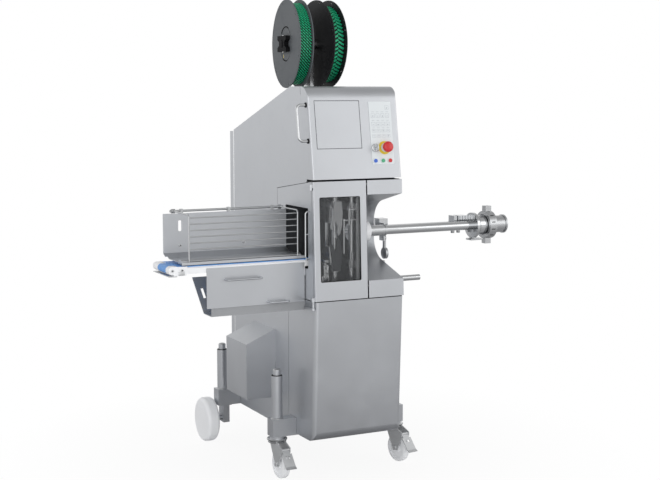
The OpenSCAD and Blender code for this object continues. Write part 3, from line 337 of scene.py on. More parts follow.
def make_finishes():
    """Every finish of the clipper."""
    f = bpy.context.scene.clipper_finish
    GROUPS.update(make_groups())
    grained("Blasted steel", f.steel, BLASTED, 1400, (0.36, 0.44), 1.0, 0.10, 0.5)
    grained("Bright steel", f.bright, DRAWN, 900, (0.16, 0.27), 1.0, 0.06, 0.4)
    grained("Drawn wire", f.wire, DRAWN, 900, (0.28, 0.38), 1.0, 0.05, 0.3)
    grained("Cast steel", scaled(f.bright, 0.86), BLASTED, 700, (0.26, 0.36), 1.0, 0.14, 0.5)
    grained("Pressed steel", scaled(f.bright, 1.05), BLASTED, 700, (0.34, 0.44), 0.6, 0.1, 0.5)
    grained("Trough sheet", scaled(f.steel, 0.6), DRAWN, 700, (0.6, 0.7), 0.0, 0.08, 0.5,
            Specular_IOR_Level=0.2)
    grained("Black moulding", scaled(f.dark, 0.6), BLASTED, 450, (0.6, 0.75), 0.0, 0.1, 0.0, 0.2,
            Specular_IOR_Level=0.1)
    grained("Polished tube", f.bright, DRAWN, 900, (0.1, 0.17), 1.0, 0.04, 0.3)
    # Painted highlight: bright steel made half as light again and less metallic, for the guides behind the
    # window and the flank's rear edge
    grained("Painted highlight steel", scaled(f.bright, 1.5), DRAWN, 900, (0.2, 0.3), 0.3, 0.04, 0.2)
    # Dark steel of the chamber walls, also used as painted shade on the lower gathering plate and in the
    # louvre slots
    grained("Dark steel and painted shade", f.inner, DRAWN, 300, (0.45, 0.58), 0.6, 0.12, 0.6)
    grained("Drive paint", (0.06, 0.075, 0.09, 1), BLASTED, 500, (0.4, 0.5), 0.0, 0.2)
    grained("Nylon", f.nylon, BLASTED, 600, (0.42, 0.55), 0.0, 0.08, 0.5, 0.03)
    grained("Grey spool", f.flange, BLASTED, 450, (0.5, 0.62), 0.0, 0.15, 0.6, 0.1,
            Specular_IOR_Level=0.25)
    # Also used as painted shade in the seams, the screw sockets and the nut's slots
    grained("Dark plastic and painted shade", f.dark, BLASTED, 450, (0.5, 0.65), 0.0, 0.15, 0.5, 0.2,
            Specular_IOR_Level=0.25)
    grained("Clip strand", f.strand, BLASTED, 260, (0.28, 0.42), 0.15, 0.2, 0.3, 0.25)
    # Painted shade: the clip colour at 3.5 percent, for the core that shows between the strands
    grained("Clip strand painted shade", scaled(f.strand, 0.035), BLASTED, 260, (0.5, 0.6), 0.0, 0.2, 0.0, 0.25)
    grained("Keypad film", f.keypad, BLASTED, 1200, (0.3, 0.38), 0.0, 0.03, 0.3, 0.02)
    grained("Keypad print", (0.33, 0.36, 0.40, 1), BLASTED, 900, (0.35, 0.45), 0.0, 0.02, 0.0, 0.05)
    grained("Stop red", f.stop, BLASTED, 500, (0.22, 0.3), 0.0, 0.03, 0.3, 0.05, Coat_Weight=0.2)
    grained("Collar yellow", f.yellow, BLASTED, 500, (0.3, 0.38), 0.0, 0.04, 0.3, 0.05)
    for label, colour in (("blue", f.blue), ("green", f.green), ("red", f.stop)):
        grained(f"Button {label}", colour, BLASTED, 500, (0.25, 0.32), 0.0, 0.03, 0.2, 0.05)
    grained("Engraved line", (0.10, 0.105, 0.115, 1), BLASTED, 800, (0.5, 0.6), 0.4, 0.05, 0.0, 0.1)
    belt_finish(f.belt)
    tree, shader = principled("Clear pane", (0.10, 0.105, 0.11, 1), 0.0, 0.06, Alpha=0.26, IOR=1.5)
    smear = group_outputs(tree, MARKS)["Mark"]
    tree.links.new(math_node(tree, "MULTIPLY_ADD", smear, 0.2, 0.04), shader.inputs["Roughness"])


def belt_finish(colour):
    """Belt with grain in its colour and a fine weave in its relief."""
    tree, shader = grained("Belt", colour, BLASTED, 900, (0.42, 0.55), 0.0, 0.0, 0.4, 0.08)
    wave = add(tree, "ShaderNodeTexWave", Vector=object_place(tree), Scale=260)
    bumped(tree, shader, wave.outputs["Fac"], 0.25)


SLOT_FINISH = {
    "stainless": "Blasted steel", "bright_steel": "Bright steel", "dark_steel": "Dark steel and painted shade",
    "drive_paint": "Drive paint", "nylon": "Nylon", "belt": "Belt", "spool": "Dark plastic and painted shade",
    "clips": "Clip strand", "window": "Clear pane", "keypad": "Keypad film", "collar": "Collar yellow",
    "stop_red": "Stop red", "blue_cap": "Button blue", "green_cap": "Button green", "red_cap": "Button red",
}
FINISH_NODES = {
    "Grey spool": ("spool_left",),
    "Pressed steel": ("caster_fork_left", "caster_fork_right", "caster_brake_left", "caster_brake_right"),
    "Cast steel": ("brake_lever", "inlet_stub", "union_nut"),
    "Blasted steel": ("leg_columns", "hinge_brackets"),
    "Drawn wire": ("wire_guard", "guard_rod"),
    "Bright steel": ("casing_brake",),
    "Trough sheet": ("trough_tray",),
    "Polished tube": ("filling_tube", "guide_rod", "docking_rod"),
}
NODE_FINISH = {node: label for label, nodes in FINISH_NODES.items() for node in nodes}


# Mesh tools


def slice_ring(bm, centre, u, v, radius, steps):
    return [
        bm.verts.new(centre + u * (radius * math.cos(a)) + v * (radius * math.sin(a)))
        for a in (2 * math.pi * i / steps for i in range(steps))
    ]


def bridge(bm, low, high, index):
    steps = len(low)
    for i in range(steps):
        j = (i + 1) % steps
        bm.faces.new((low[i], low[j], high[j], high[i])).material_index = index


def skin(bm, rings, index=0, round_again=False):
    """Joins rings to a skin that ends in two caps, or that runs round to the first ring."""
    for low, high in zip(rings, rings[1:] + (rings[:1] if round_again else [])):
        bridge(bm, low, high, index)
    if not round_again:
        bm.faces.new(list(reversed(rings[0]))).material_index = index
        bm.faces.new(rings[-1]).material_index = index


def turned(bm, profile, matrix, steps):
    """Rings about the matrix's Z axis, from a profile of (radius, height) in millimetres."""
    rings = []
    for radius, height in profile:
        centre = local(0, 0, height)
        ring = slice_ring(bm, centre, Vector((1, 0, 0)), Vector((0, 1, 0)), max(radius * MM, 1e-5), steps)
        for vert in ring:
            vert.co = matrix @ vert.co
        rings.append(ring)
    return rings


def lathe(bm, profile, matrix, steps):
    """Turns a profile in millimetres, closed at both ends."""
    skin(bm, turned(bm, profile, matrix, steps))


def turned_ring(bm, inner, profile, matrix, steps=48, index=0):
    """Turns an open profile in millimetres and closes it on a bore of the radius inner."""
    closed = [(inner, profile[0][1]), *profile, (inner, profile[-1][1])]
    skin(bm, turned(bm, closed, matrix, steps), index, True)


def tube(bm, points, radius, steps, index):
    """Round bar along a line of points, closed at both ends."""
    normal = None
    rings = []
    for i, point in enumerate(points):
        along = (points[min(i + 1, len(points) - 1)] - points[max(i - 1, 0)]).normalized()
        if normal is None:
            normal = along.orthogonal().normalized()
        normal = (normal - along * normal.dot(along)).normalized()
        rings.append(slice_ring(bm, point, normal, along.cross(normal), radius, steps))
    skin(bm, rings, index)


def slab(bm, matrix, low, high, bevel=0.0, index=0):
    """Block between two local corners in millimetres, bevelled where asked."""
    size = Vector([b - a for a, b in zip(low, high)]) * MM
    mid = Vector([(a + b) / 2 for a, b in zip(low, high)]) * MM
    place = matrix @ Matrix.Translation(mid) @ Matrix.Diagonal((*size, 1))
    made = bmesh.ops.create_cube(bm, size=1.0, matrix=place)
    faces = dict.fromkeys(face for vert in made["verts"] for face in vert.link_faces)
    for face in faces:
        face.material_index = index
    if bevel:
        edges = list(dict.fromkeys(edge for face in faces for edge in face.edges))
        bmesh.ops.bevel(bm, geom=edges, offset=bevel * MM, segments=2, affect="EDGES", profile=0.5)


def border(bm, matrix, x0, x1, z0, z1, wide, near, far):
    """Four bars that frame a field, without overlap at the corners."""
    for a, b, c, d in ((x0, z0, x1, z0 + wide), (x0, z1 - wide, x1, z1),
                       (x0, z0 + wide, x0 + wide, z1 - wide), (x1 - wide, z0 + wide, x1, z1 - wide)):
        slab(bm, matrix, (a, near, b), (c, far, d))


def outline(bm, matrix, points, depth):
    """Plate from a flat outline in the matrix's X and Z, as deep as depth along its Y."""
    front = [bm.verts.new(matrix @ local(x, 0, z)) for x, z in points]
    back = [bm.verts.new(matrix @ local(x, depth, z)) for x, z in points]
    bm.faces.new(front)
    bm.faces.new(list(reversed(back)))
    bridge(bm, back, front, 0)


def mesh_of(name, bm):
    """Mesh of what was built, with its faces turned outwards."""
    bmesh.ops.recalc_face_normals(bm, faces=bm.faces)
    mesh = bpy.data.meshes.new(name)
    bm.to_mesh(mesh)
    bm.free()
    return mesh


def piece(name, bm, finishes, body, angle=SMOOTH_ANGLE, replaced=()):
    """Makes a mesh object of a built piece that rides on its body."""
    return dressed(name, mesh_of(name, bm), finishes, body, angle, replaced)


def dressed(name, mesh, finishes, body, angle=SMOOTH_ANGLE, replaced=()):
    for label in finishes:
        mesh.materials.append(FINISHES[label])
    mesh.shade_smooth()
    mesh.set_sharp_from_angle(angle=math.radians(angle))
    made = bpy.data.objects.new(name, mesh)
    bpy.context.scene.collection.objects.link(made)
    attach(made, body)
    if replaced:
        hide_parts(*replaced)
    return made


def axis_frame(origin, z_axis):
    """Matrix at origin whose Z runs along z_axis, with X as near to upright as it can be."""
    up = Vector((0, 0, 1))
    z = Vector(z_axis).normalized()
    x = up - z * up.dot(z)
    x = x.normalized() if x.length > 1e-6 else z.orthogonal().normalized()
    return Matrix.Translation(origin) @ Matrix((x, z.cross(x), z)).transposed().to_4x4()


# Geometry node tools


def node_tree(name, inputs):
    """Empty geometry tree with named inputs, and its input and output nodes."""
    tree = bpy.data.node_groups.new(name, "GeometryNodeTree")
    tree.interface.new_socket("Geometry", in_out="INPUT", socket_type="NodeSocketGeometry")
    for label, kind, default in inputs:
        socket = tree.interface.new_socket(label, in_out="INPUT", socket_type="NodeSocket" + kind)
        if default is not None:
            socket.default_value = default
    tree.interface.new_socket("Geometry", in_out="OUTPUT", socket_type="NodeSocketGeometry")
    return tree, tree.nodes.new("NodeGroupInput"), tree.nodes.new("NodeGroupOutput")


def grown(name, tree, values, source=None):
    """Runs a geometry tree on a mesh and returns the result as a plain mesh."""
    source = source or bpy.data.meshes.new(name + "_seed")
    maker = bpy.data.objects.new(name + "_maker", source)
    bpy.context.scene.collection.objects.link(maker)
    modifier = maker.modifiers.new("Grow", "NODES")
    modifier.node_group = tree
    for item in tree.interface.items_tree:
        if item.item_type == "SOCKET" and item.in_out == "INPUT" and item.name in values:
            modifier[item.identifier] = values[item.name]
    bpy.context.view_layer.update()
    graph = bpy.context.evaluated_depsgraph_get()
    mesh = bpy.data.meshes.new_from_object(maker.evaluated_get(graph))
    maker.modifiers.remove(modifier)
    bpy.data.objects.remove(maker)
    mesh.name = name
    return mesh


def points_mesh(name, spots):
    """Mesh of loose points with a facing vector each."""
    mesh = bpy.data.meshes.new(name)
    mesh.from_pydata([tuple(p) for p, _ in spots], [], [])
    facing = mesh.attributes.new("facing", "FLOAT_VECTOR", "POINT")
    for item, (_, direction) in zip(facing.data, spots):
        item.vector = direction
    return mesh


@functools.cache
def screw_tree():
    """Socket head screws: a turned head with a dark hexagon on it as painted shade of the socket, on every
    point.
    """
    tree, gin, gout = node_tree(
        "Socket screws",
        [("Head Radius", "Float", 0.0055), ("Head Height", "Float", 0.003),
         ("Head Finish", "Material", None), ("Socket Finish", "Material", None)],
    )
    radius, height = gin.outputs["Head Radius"], gin.outputs["Head Height"]
    steel, dark = gin.outputs["Head Finish"], gin.outputs["Socket Finish"]

    def share(socket, factor):
        return math_node(tree, "MULTIPLY", socket, factor)

    def drum(sides, wide, tall, material, lift):
        body = result(tree, "GeometryNodeMeshCylinder", Vertices=sides, Radius=wide, Depth=tall)
        painted = result(tree, "GeometryNodeSetMaterial", Geometry=body, Material=material)
        shift = result(tree, "ShaderNodeCombineXYZ", Z=lift)
        return result(tree, "GeometryNodeTransform", Geometry=painted, Translation=shift)

    head = drum(20, radius, height, steel, share(height, 0.5))
    rim = drum(20, share(radius, 0.86), share(height, 0.3), steel, share(height, 1.08))
    # Painted shade: a dark hexagon stands on the head where the socket's hollow would be
    hexagon = drum(6, share(radius, 0.5), share(height, 0.3), dark, share(height, 1.12))
    screw = tree.nodes.new("GeometryNodeJoinGeometry")
    for part in (head, rim, hexagon):
        tree.links.new(part, screw.inputs["Geometry"])
    facing = tree.nodes.new("GeometryNodeInputNamedAttribute")
    facing.data_type = "FLOAT_VECTOR"
    facing.inputs["Name"].default_value = "facing"
    turn = add(tree, "FunctionNodeAlignRotationToVector", Vector=facing.outputs["Attribute"])
    turn.axis = "Z"
    placed = result(tree, "GeometryNodeInstanceOnPoints", Points=gin.outputs["Geometry"],
                    Instance=screw.outputs["Geometry"], Rotation=turn.outputs["Rotation"])
    real = result(tree, "GeometryNodeRealizeInstances", Geometry=placed)
    tree.links.new(real, gout.inputs["Geometry"])
    return tree


@functools.cache
def strand_tree():
    """Clips stood side by side round a spool, slanted, in a material of their own."""
    tree, gin, gout = node_tree(
        "Clip strand",
        [("Count", "Int", 120), ("Radius", "Float", 0.17), ("Length", "Float", 0.02),
         ("Thickness", "Float", 0.004), ("Rise", "Float", 0.006), ("Slant", "Float", 0.5),
         ("Shift", "Float", 0.0), ("Phase", "Float", 0.0), ("Place", "Vector", None),
         ("Turn", "Vector", None), ("Finish", "Material", None)],
    )
    get = gin.outputs
    size = result(tree, "ShaderNodeCombineXYZ", X=get["Rise"], Y=get["Thickness"], Z=get["Length"])
    bar = result(tree, "GeometryNodeMeshCube", Size=size)
    lean = result(tree, "ShaderNodeCombineXYZ", X=get["Slant"])
    out = result(tree, "ShaderNodeCombineXYZ", X=get["Radius"], Z=get["Shift"])
    clip = result(tree, "GeometryNodeTransform", Geometry=bar, Translation=out, Rotation=lean)
    line = result(tree, "GeometryNodeMeshLine", Count=get["Count"], Offset=(0, 0, 0))
    step = math_node(tree, "DIVIDE", 2 * math.pi, get["Count"])
    index = result(tree, "GeometryNodeInputIndex")
    spin = result(tree, "ShaderNodeCombineXYZ", Z=math_node(tree, "MULTIPLY_ADD", index, step, get["Phase"]))
    turn = result(tree, "FunctionNodeEulerToRotation", Euler=spin)
    placed = result(tree, "GeometryNodeInstanceOnPoints", Points=line, Instance=clip, Rotation=turn)
    real = result(tree, "GeometryNodeRealizeInstances", Geometry=placed)
    moved = result(tree, "GeometryNodeTransform", Geometry=real, Translation=get["Place"],
                   Rotation=get["Turn"])
    painted = result(tree, "GeometryNodeSetMaterial", Geometry=moved, Material=get["Finish"])
    tree.links.new(painted, gout.inputs["Geometry"])
    return tree


@functools.cache
def row_tree():
    """A bar repeated along a line, for belt lines and louvres."""
    tree, gin, gout = node_tree(
        "Row of bars",
        [("Count", "Int", 10), ("Size", "Vector", None), ("Start", "Vector", None),
         ("Step", "Vector", None), ("Turn", "Vector", None), ("Finish", "Material", None)],
    )
    get = gin.outputs
    bar = result(tree, "GeometryNodeMeshCube", Size=get["Size"])
    leaning = result(tree, "GeometryNodeTransform", Geometry=bar, Rotation=get["Turn"])
    line = result(tree, "GeometryNodeMeshLine", Count=get["Count"], Start_Location=get["Start"],
                  Offset=get["Step"])
    placed = result(tree, "GeometryNodeInstanceOnPoints", Points=line, Instance=leaning)
    real = result(tree, "GeometryNodeRealizeInstances", Geometry=placed)
    painted = result(tree, "GeometryNodeSetMaterial", Geometry=real, Material=get["Finish"])
    tree.links.new(painted, gout.inputs["Geometry"])
    return tree


def joined(name, meshes, body, angle=SMOOTH_ANGLE, replaced=()):
    """One piece of several grown meshes, with their finishes kept."""
    bm = bmesh.new()
    finishes = []
    for mesh in meshes:
        first = len(bm.faces)
        bm.from_mesh(mesh)
        bm.faces.ensure_lookup_table()
        labels = [m.name if m else "Dark plastic and painted shade" for m in mesh.materials] or ["Dark plastic and painted shade"]
        for face in list(bm.faces)[first:]:
            label = labels[min(face.material_index, len(labels) - 1)]
            if label not in finishes:
                finishes.append(label)
            face.material_index = finishes.index(label)
    whole = bpy.data.meshes.new(name)
    bm.to_mesh(whole)
    bm.free()
    return dressed(name, whole, finishes, body, angle, replaced)


def row_mesh(name, count, size, start, step, finish_name, turn=(0, 0, 0)):
    return grown(name, row_tree(), {
        "Count": count, "Size": size, "Start": tuple(start), "Step": tuple(step), "Turn": turn,
        "Finish": FINISHES[finish_name],
    })


def screws(name, spots, body, radius=None, height=0.003):
    mesh = grown(name, screw_tree(), {
        "Head Radius": radius or sizes().screw_head, "Head Height": height,
        "Head Finish": FINISHES["Bright steel"], "Socket Finish": FINISHES["Dark plastic and painted shade"],
    }, points_mesh(name + "_points", spots))
    return joined(name, [mesh], body)


# Pieces


class CLIPPER_OT_finishes(bpy.types.Operator):
    """Gives every solid its finish"""

    bl_idname = "clipper.finishes"
    bl_label = "Finishes"

    def execute(self, context):
        make_finishes()
        slots = {part["node"]: part["material_slot"] for part in frame["record"]["subparts"]}
        for name, node in NODES.items():
            node.data.materials.clear()
            node.data.materials.append(FINISHES[NODE_FINISH.get(name, SLOT_FINISH[slots[name]])])
        return {"FINISHED"}


def spool_frame(side):
    """Frame of a spool's axle: Z out of the post, origin on the post's face."""
    if side < 0:
        return axis_frame(at(206, SPOOL_Y, SPOOL_Z), (-math.cos(SPOOL_TOE), math.sin(SPOOL_TOE), 0))
    return axis_frame(at(222, SPOOL_Y, SPOOL_Z), (1, 0, 0))


def winding_meshes(name, side, strands, count, length, slant, outer, fill, stagger):
    """Strands of slanted clips on a dark core of painted shade, between the flanges of a spool."""
    matrix = spool_frame(side)
    low = STAND_OFF[side] + FLANGE_THICK
    pitch = 2 * math.pi / count
    meshes = []
    for i, (shift, lean) in enumerate(strands):
        meshes.append(grown(f"{name}_{i}", strand_tree(), {
            "Count": count, "Radius": (outer - 3.5) * MM, "Length": length * MM,
            "Thickness": pitch * outer * MM * fill, "Rise": 0.007, "Slant": lean * slant,
            "Shift": (low + shift) * MM, "Phase": i * stagger * pitch,
            "Place": tuple(matrix.translation), "Turn": tuple(matrix.to_euler()),
            "Finish": FINISHES["Clip strand"],
        }))
    bm = bmesh.new()
    # Painted shade: the dark core shows in the gaps between the strands, where shade would fall
    core = outer - 6.2
    turned_ring(bm, 100, [(core, low + 0.3), (core, low + WINDING_WIDE - 0.3)], matrix, 72)
    meshes.append(mesh_of(name + "_core", bm))
    meshes[-1].materials.append(FINISHES["Clip strand painted shade"])
    return meshes


class CLIPPER_OT_windings(bpy.types.Operator):
    """Winds the clip strands on both spools"""

    bl_idname = "clipper.windings"
    bl_label = "Clip windings"

    def execute(self, context):
        chevrons = [(14.5, 1), (41.5, -1)]
        slants = [(8, -1), (21.3, -1), (34.7, -1), (48, -1)]
        for name, side, strands, *shape in (
            ("left", -1, slants, sizes().left_clips, 16.0, 0.79, 179.5, 0.28, 0.0),
            ("right", 1, chevrons, sizes().right_clips, 28.5, 0.45, 169.0, 0.46, 0.5),
        ):
            whole = f"clip_winding_{name}"
            meshes = winding_meshes(whole, side, strands, *shape)
            joined(whole, meshes, f"{name}_spool", 20, (f"winding_{name}",))
        return {"FINISHED"}


class CLIPPER_OT_spool_fittings(bpy.types.Operator):
    """Dark retainers on the axle ends and moulded rings on the flanges"""

    bl_idname = "clipper.spool_fittings"
    bl_label = "Spool fittings"

    def execute(self, context):
        bow = [(-35, -58), (-35, 58), (-18, 58), (-8, 36), (8, 36), (18, 58), (35, 58), (35, -58), (18, -58),
               (8, -36), (-8, -36), (-18, -58)]
        for name, side in (("left", -1), ("right", 1)):
            matrix = spool_frame(side)
            face = STAND_OFF[side] + WINDING_WIDE + 2 * FLANGE_THICK
            end = face + 6
            bm = bmesh.new()
            flat = matrix @ Matrix.Translation(local(0, 0, end - 5.5)) @ Matrix.Rotation(math.pi / 2, 4, "X")
            outline(bm, flat, bow, 19.5)
            lathe(bm, [(17, end + 13.8), (17, end + 16), (14, end + 17)], matrix, 32)
            piece(f"spool_retainer_{name}", bm, ["Black moulding"], "machine")
            bm = bmesh.new()
            turned_ring(bm, 184, [(184, face), (186, face + 0.6), (188, face)], matrix, 96)
            for start, steps in ((-25, 16), (150, 9)):
                arc = [matrix @ local(75 * math.cos(a), 75 * math.sin(a), face + 0.2)
                       for a in (math.radians(start + 5 * i) for i in range(steps))]
                tube(bm, arc, 2.6 * MM, 8, 1)
            labels = ["Dark plastic and painted shade", "Black moulding"]
            if side < 0:
                slab(bm, matrix, (-62, 27, face - 0.2), (-46, 32, face + 0.25), 0.0, 2)
                labels = ["Grey spool", "Black moulding", "Collar yellow"]
            piece(f"spool_face_{name}", bm, labels, f"{name}_spool")
        return {"FINISHED"}


def stroke(bm, x0, z0, x1, z1):
    """Flat printed bar on the keypad."""
    near, far = PRINT_FACES
    slab(bm, HOOD, (x0, near, z0), (x1, far, z1))


def key_frame(bm, x, z, wide, tall):
    """Printed frame of one key, with bars that cross at the corners."""
    stroke(bm, x, z, x + wide, z + KEY_LINE)
    stroke(bm, x, z + tall - KEY_LINE, x + wide, z + tall)
    stroke(bm, x, z, x + KEY_LINE, z + tall)
    stroke(bm, x + wide - KEY_LINE, z, x + wide, z + tall)


def control(x, z):
    """Frame of a control on the keypad: Z out of its face."""
    return HOOD @ Matrix.Translation(local(x, KEYPAD_FACE, z)) @ Matrix.Rotation(math.pi / 2, 4, "X")


class CLIPPER_OT_keypad_marks(bpy.types.Operator):
    """Plain marks on the keypad and a bare ruled field on the hood"""

    bl_idname = "clipper.keypad_marks"
    bl_label = "Keypad marks"

    def execute(self, context):
        bm = bmesh.new()
        columns = [292, 315, 338, 361]
        for row, z in enumerate((296, 262, 226, 200, 178)):
            for i, x in enumerate(columns):
                if row == 0 and i < 3:
                    continue
                key_frame(bm, x, z, 17, 17 if row < 3 else 12)
                stroke(bm, x + 5, z + 6, x + 12, z + 7.4)
                if (row + i) % 2:
                    stroke(bm, x + 8, z + 3.5, x + 9.4, z + 10)
        for z in (286, 250, 218):
            for x in columns:
                stroke(bm, x + 2, z, x + 15, z + 1.0)
        piece("keypad_marks", bm, ["Keypad print"], "control_door")
        bm = bmesh.new()
        border(bm, HOOD, 29, 240, 133, 336, 2.6, -0.15, 0.1)
        piece("ruled_field", bm, ["Engraved line"], "control_door")
        return {"FINISHED"}


class CLIPPER_OT_switches(bpy.types.Operator):
    """Mushroom head, rims of the switches and the key's grip"""

    bl_idname = "clipper.switches"
    bl_label = "Switches"

    def execute(self, context):
        stop = control(345, 134)
        key = control(301, 134)
        bm = bmesh.new()
        head = [(11, -3), (11, 25), (19, 25.2), (21.8, 26.2), (23, 28.5), (23, 36), (22.2, 39), (20, 41.6),
                (16, 43.4), (10, 44.5), (0.01, 45)]
        lathe(bm, head, stop, 48)
        piece("stop_mushroom", bm, ["Stop red"], "estop", 50, ("estop_head",))
        bm = bmesh.new()
        turned_ring(bm, 19, [(28, 0), (28, 3.5), (26.5, 5.4), (24, 6)], stop)
        turned_ring(bm, 11.05, [(19, 0), (19, 6.5), (16.5, 9), (14.5, 14), (13.5, 16)], stop, 48, 2)
        turned_ring(bm, 10.05, [(18, 0), (18, 2.5), (16.6, 5), (14, 6), (10.8, 6)], key, 40, 1)
        for x in (298, 334, 368):
            turned_ring(bm, 8.05, [(11.6, 0), (11.6, 1.6), (11.2, 2.4), (10.6, 2.4)], control(x, 79), 32, 2)
        rims = ["Collar yellow", "Bright steel", "Keypad film"]
        piece("switch_rims", bm, rims, "control_door", 30, ("switch_collars",))
        bm = bmesh.new()
        slab(bm, key, (-1.6, -12.5, 10.2), (1.6, 12.5, 26), 1.2)
        lathe(bm, [(9.6, 9.6), (8.8, 11)], key, 32)
        lathe(bm, [(5, 20), (5, 28), (4, 29)], key, 20)
        piece("key_grip", bm, ["Bright steel"], "key")
        return {"FINISHED"}


class CLIPPER_OT_handle_feet(bpy.types.Operator):
    """Dark washers under the pull handle's feet"""

    bl_idname = "clipper.handle_feet"
    bl_label = "Handle feet"

    def execute(self, context):
        bm = bmesh.new()
        for z in (170, 320):
            foot = HOOD @ Matrix.Translation(local(0, 18, z)) @ Matrix.Rotation(-math.pi / 2, 4, "Y")
            turned_ring(bm, 6.1, [(11, 0.05), (11, 2.4), (9.6, 3.6), (7, 3.6)], foot, 28)
        piece("handle_washers", bm, ["Dark plastic and painted shade"], "control_door")
        return {"FINISHED"}


class CLIPPER_OT_seam_shade_and_gasket(bpy.types.Operator):
    """Dark strips of painted shade in the seams, a dark gasket round the window, a bead on the flank and a
    painted highlight on its rear edge
    """

    bl_idname = "clipper.seals"
    bl_label = "Seam shade and gasket"

    def execute(self, context):
        bm = bmesh.new()
        # Painted shade: dark strips in the seams under the hood, beside the clip door and under it, where
        # the gaps hold only shade
        slab(bm, FLAT, (4, 36, 1279), (416, 84, 1285.6))
        slab(bm, DOOR, (248.8, 8, 4), (251.2, 40, 490))
        slab(bm, FLAT, (6, 6, 783), (414, 60, 787.6))
        piece("seam_painted_shade", bm, ["Dark plastic and painted shade"], "machine")
        bm = bmesh.new()
        slab(bm, HOOD, (0.1, 60.2, 6), (2.6, 61.8, 372))
        # Painted highlight: a lighter strip on the flank's rear edge stands in for the bright edge where the
        # rear cover meets the side panel
        slab(bm, FLAT, (-0.4, 874, 210), (0.6, 884, 1474), 0.3, 1)
        piece("flank_bead_and_painted_highlight", bm, ["Blasted steel", "Painted highlight steel"], "machine")
        bm = bmesh.new()
        border(bm, DOOR, 27, 217, 80, 434, 2.2, 1.2, 2.95)
        piece("window_gasket", bm, ["Dark plastic and painted shade"], "clip_door")
        return {"FINISHED"}


class CLIPPER_OT_clip_head(bpy.types.Operator):
    """Gathering plates, die plates, guides, a side rail and a clip stand behind the window"""

    bl_idname = "clipper.clip_head"
    bl_label = "Clip head"

    def execute(self, context):
        palm = [(108, 1197), (142, 1197), (147, 1150), (145, 1100), (136, 1062), (128, 1054), (122, 1064),
                (123, 1096), (113, 1112), (102, 1084), (93, 1080), (91, 1092), (99, 1136), (104, 1168)]
        # Painted shade: the lower gathering plate is the upper one mirrored, but in the dark steel so that
        # it reads as lying in shade
        for end, near, flip, label in (("up", 42.5, 1, "Bright steel"), ("down", 48, -1, "Dark steel and painted shade")):
            bm = bmesh.new()
            shape = [(x, TUBE_Z + flip * (z - TUBE_Z)) for x, z in palm]
            outline(bm, FLAT @ Matrix.Translation(local(0, near, 0)), shape, 4.5)
            mid = TUBE_Z + flip * 135
            slab(bm, FLAT, (116, near + 4, mid - 10), (134, 54, mid + 10), 1.0)
            piece(f"gather_plate_{end}", bm, [label], f"displacer_{end}")
        for end, flip in (("up", 1), ("down", -1)):
            bm = bmesh.new()
            low, high = sorted((TUBE_Z + flip * 70, TUBE_Z + flip * 138))
            slab(bm, FLAT, (194, 46, low), (204, 54, high), 1.0)
            mid = TUBE_Z + flip * 122
            slab(bm, FLAT, (188, 49, mid - 14), (222, 54, mid + 14), 1.0)
            piece(f"die_plate_{end}", bm, ["Bright steel"], f"ram_{end}")
        bm = bmesh.new()
        # Painted highlight: the side rail and the two guides are in the lightened steel, which stands in for
        # their highlights behind the window
        slab(bm, FLAT, (213, 41.5, 840), (229, 47.5, 1222), 1.2, 2)
        for x, low, high in ((153, 976, 1124), (177, 1096, 1168)):
            slab(bm, FLAT, (x - 3, 40.8, low), (x + 3, 42.3, high), 0.4, 2)
            slab(bm, FLAT, (x - 1, 41.4, high - 8), (214, 42.6, high - 4), 0.2, 2)
        slab(bm, FLAT, (228, 43, 840), (249.4, 46, 1222), 0.6)
        slab(bm, FLAT, (62, 66, 790.5), (96, 110, 884), 2.0, 1)
        slab(bm, FLAT, (68, 60, 800), (90, 66.2, 930), 1.0)
        slab(bm, FLAT, (72, 56, 940), (88, 100, 952), 1.0)
        slab(bm, FLAT, (74, 66, 884), (84, 90, 941), 1.0, 1)
        piece("clip_stand", bm, ["Bright steel", "Cast steel", "Painted highlight steel"], "machine")
        holes = ((74, 815), (84, 842), (74, 868), (84, 895), (76, 918))
        spots = [(at(x, 60, z), Vector((0, -1, 0))) for x, z in holes]
        screws("clip_stand_screws", spots, "machine", 0.005, 0.004)
        return {"FINISHED"}


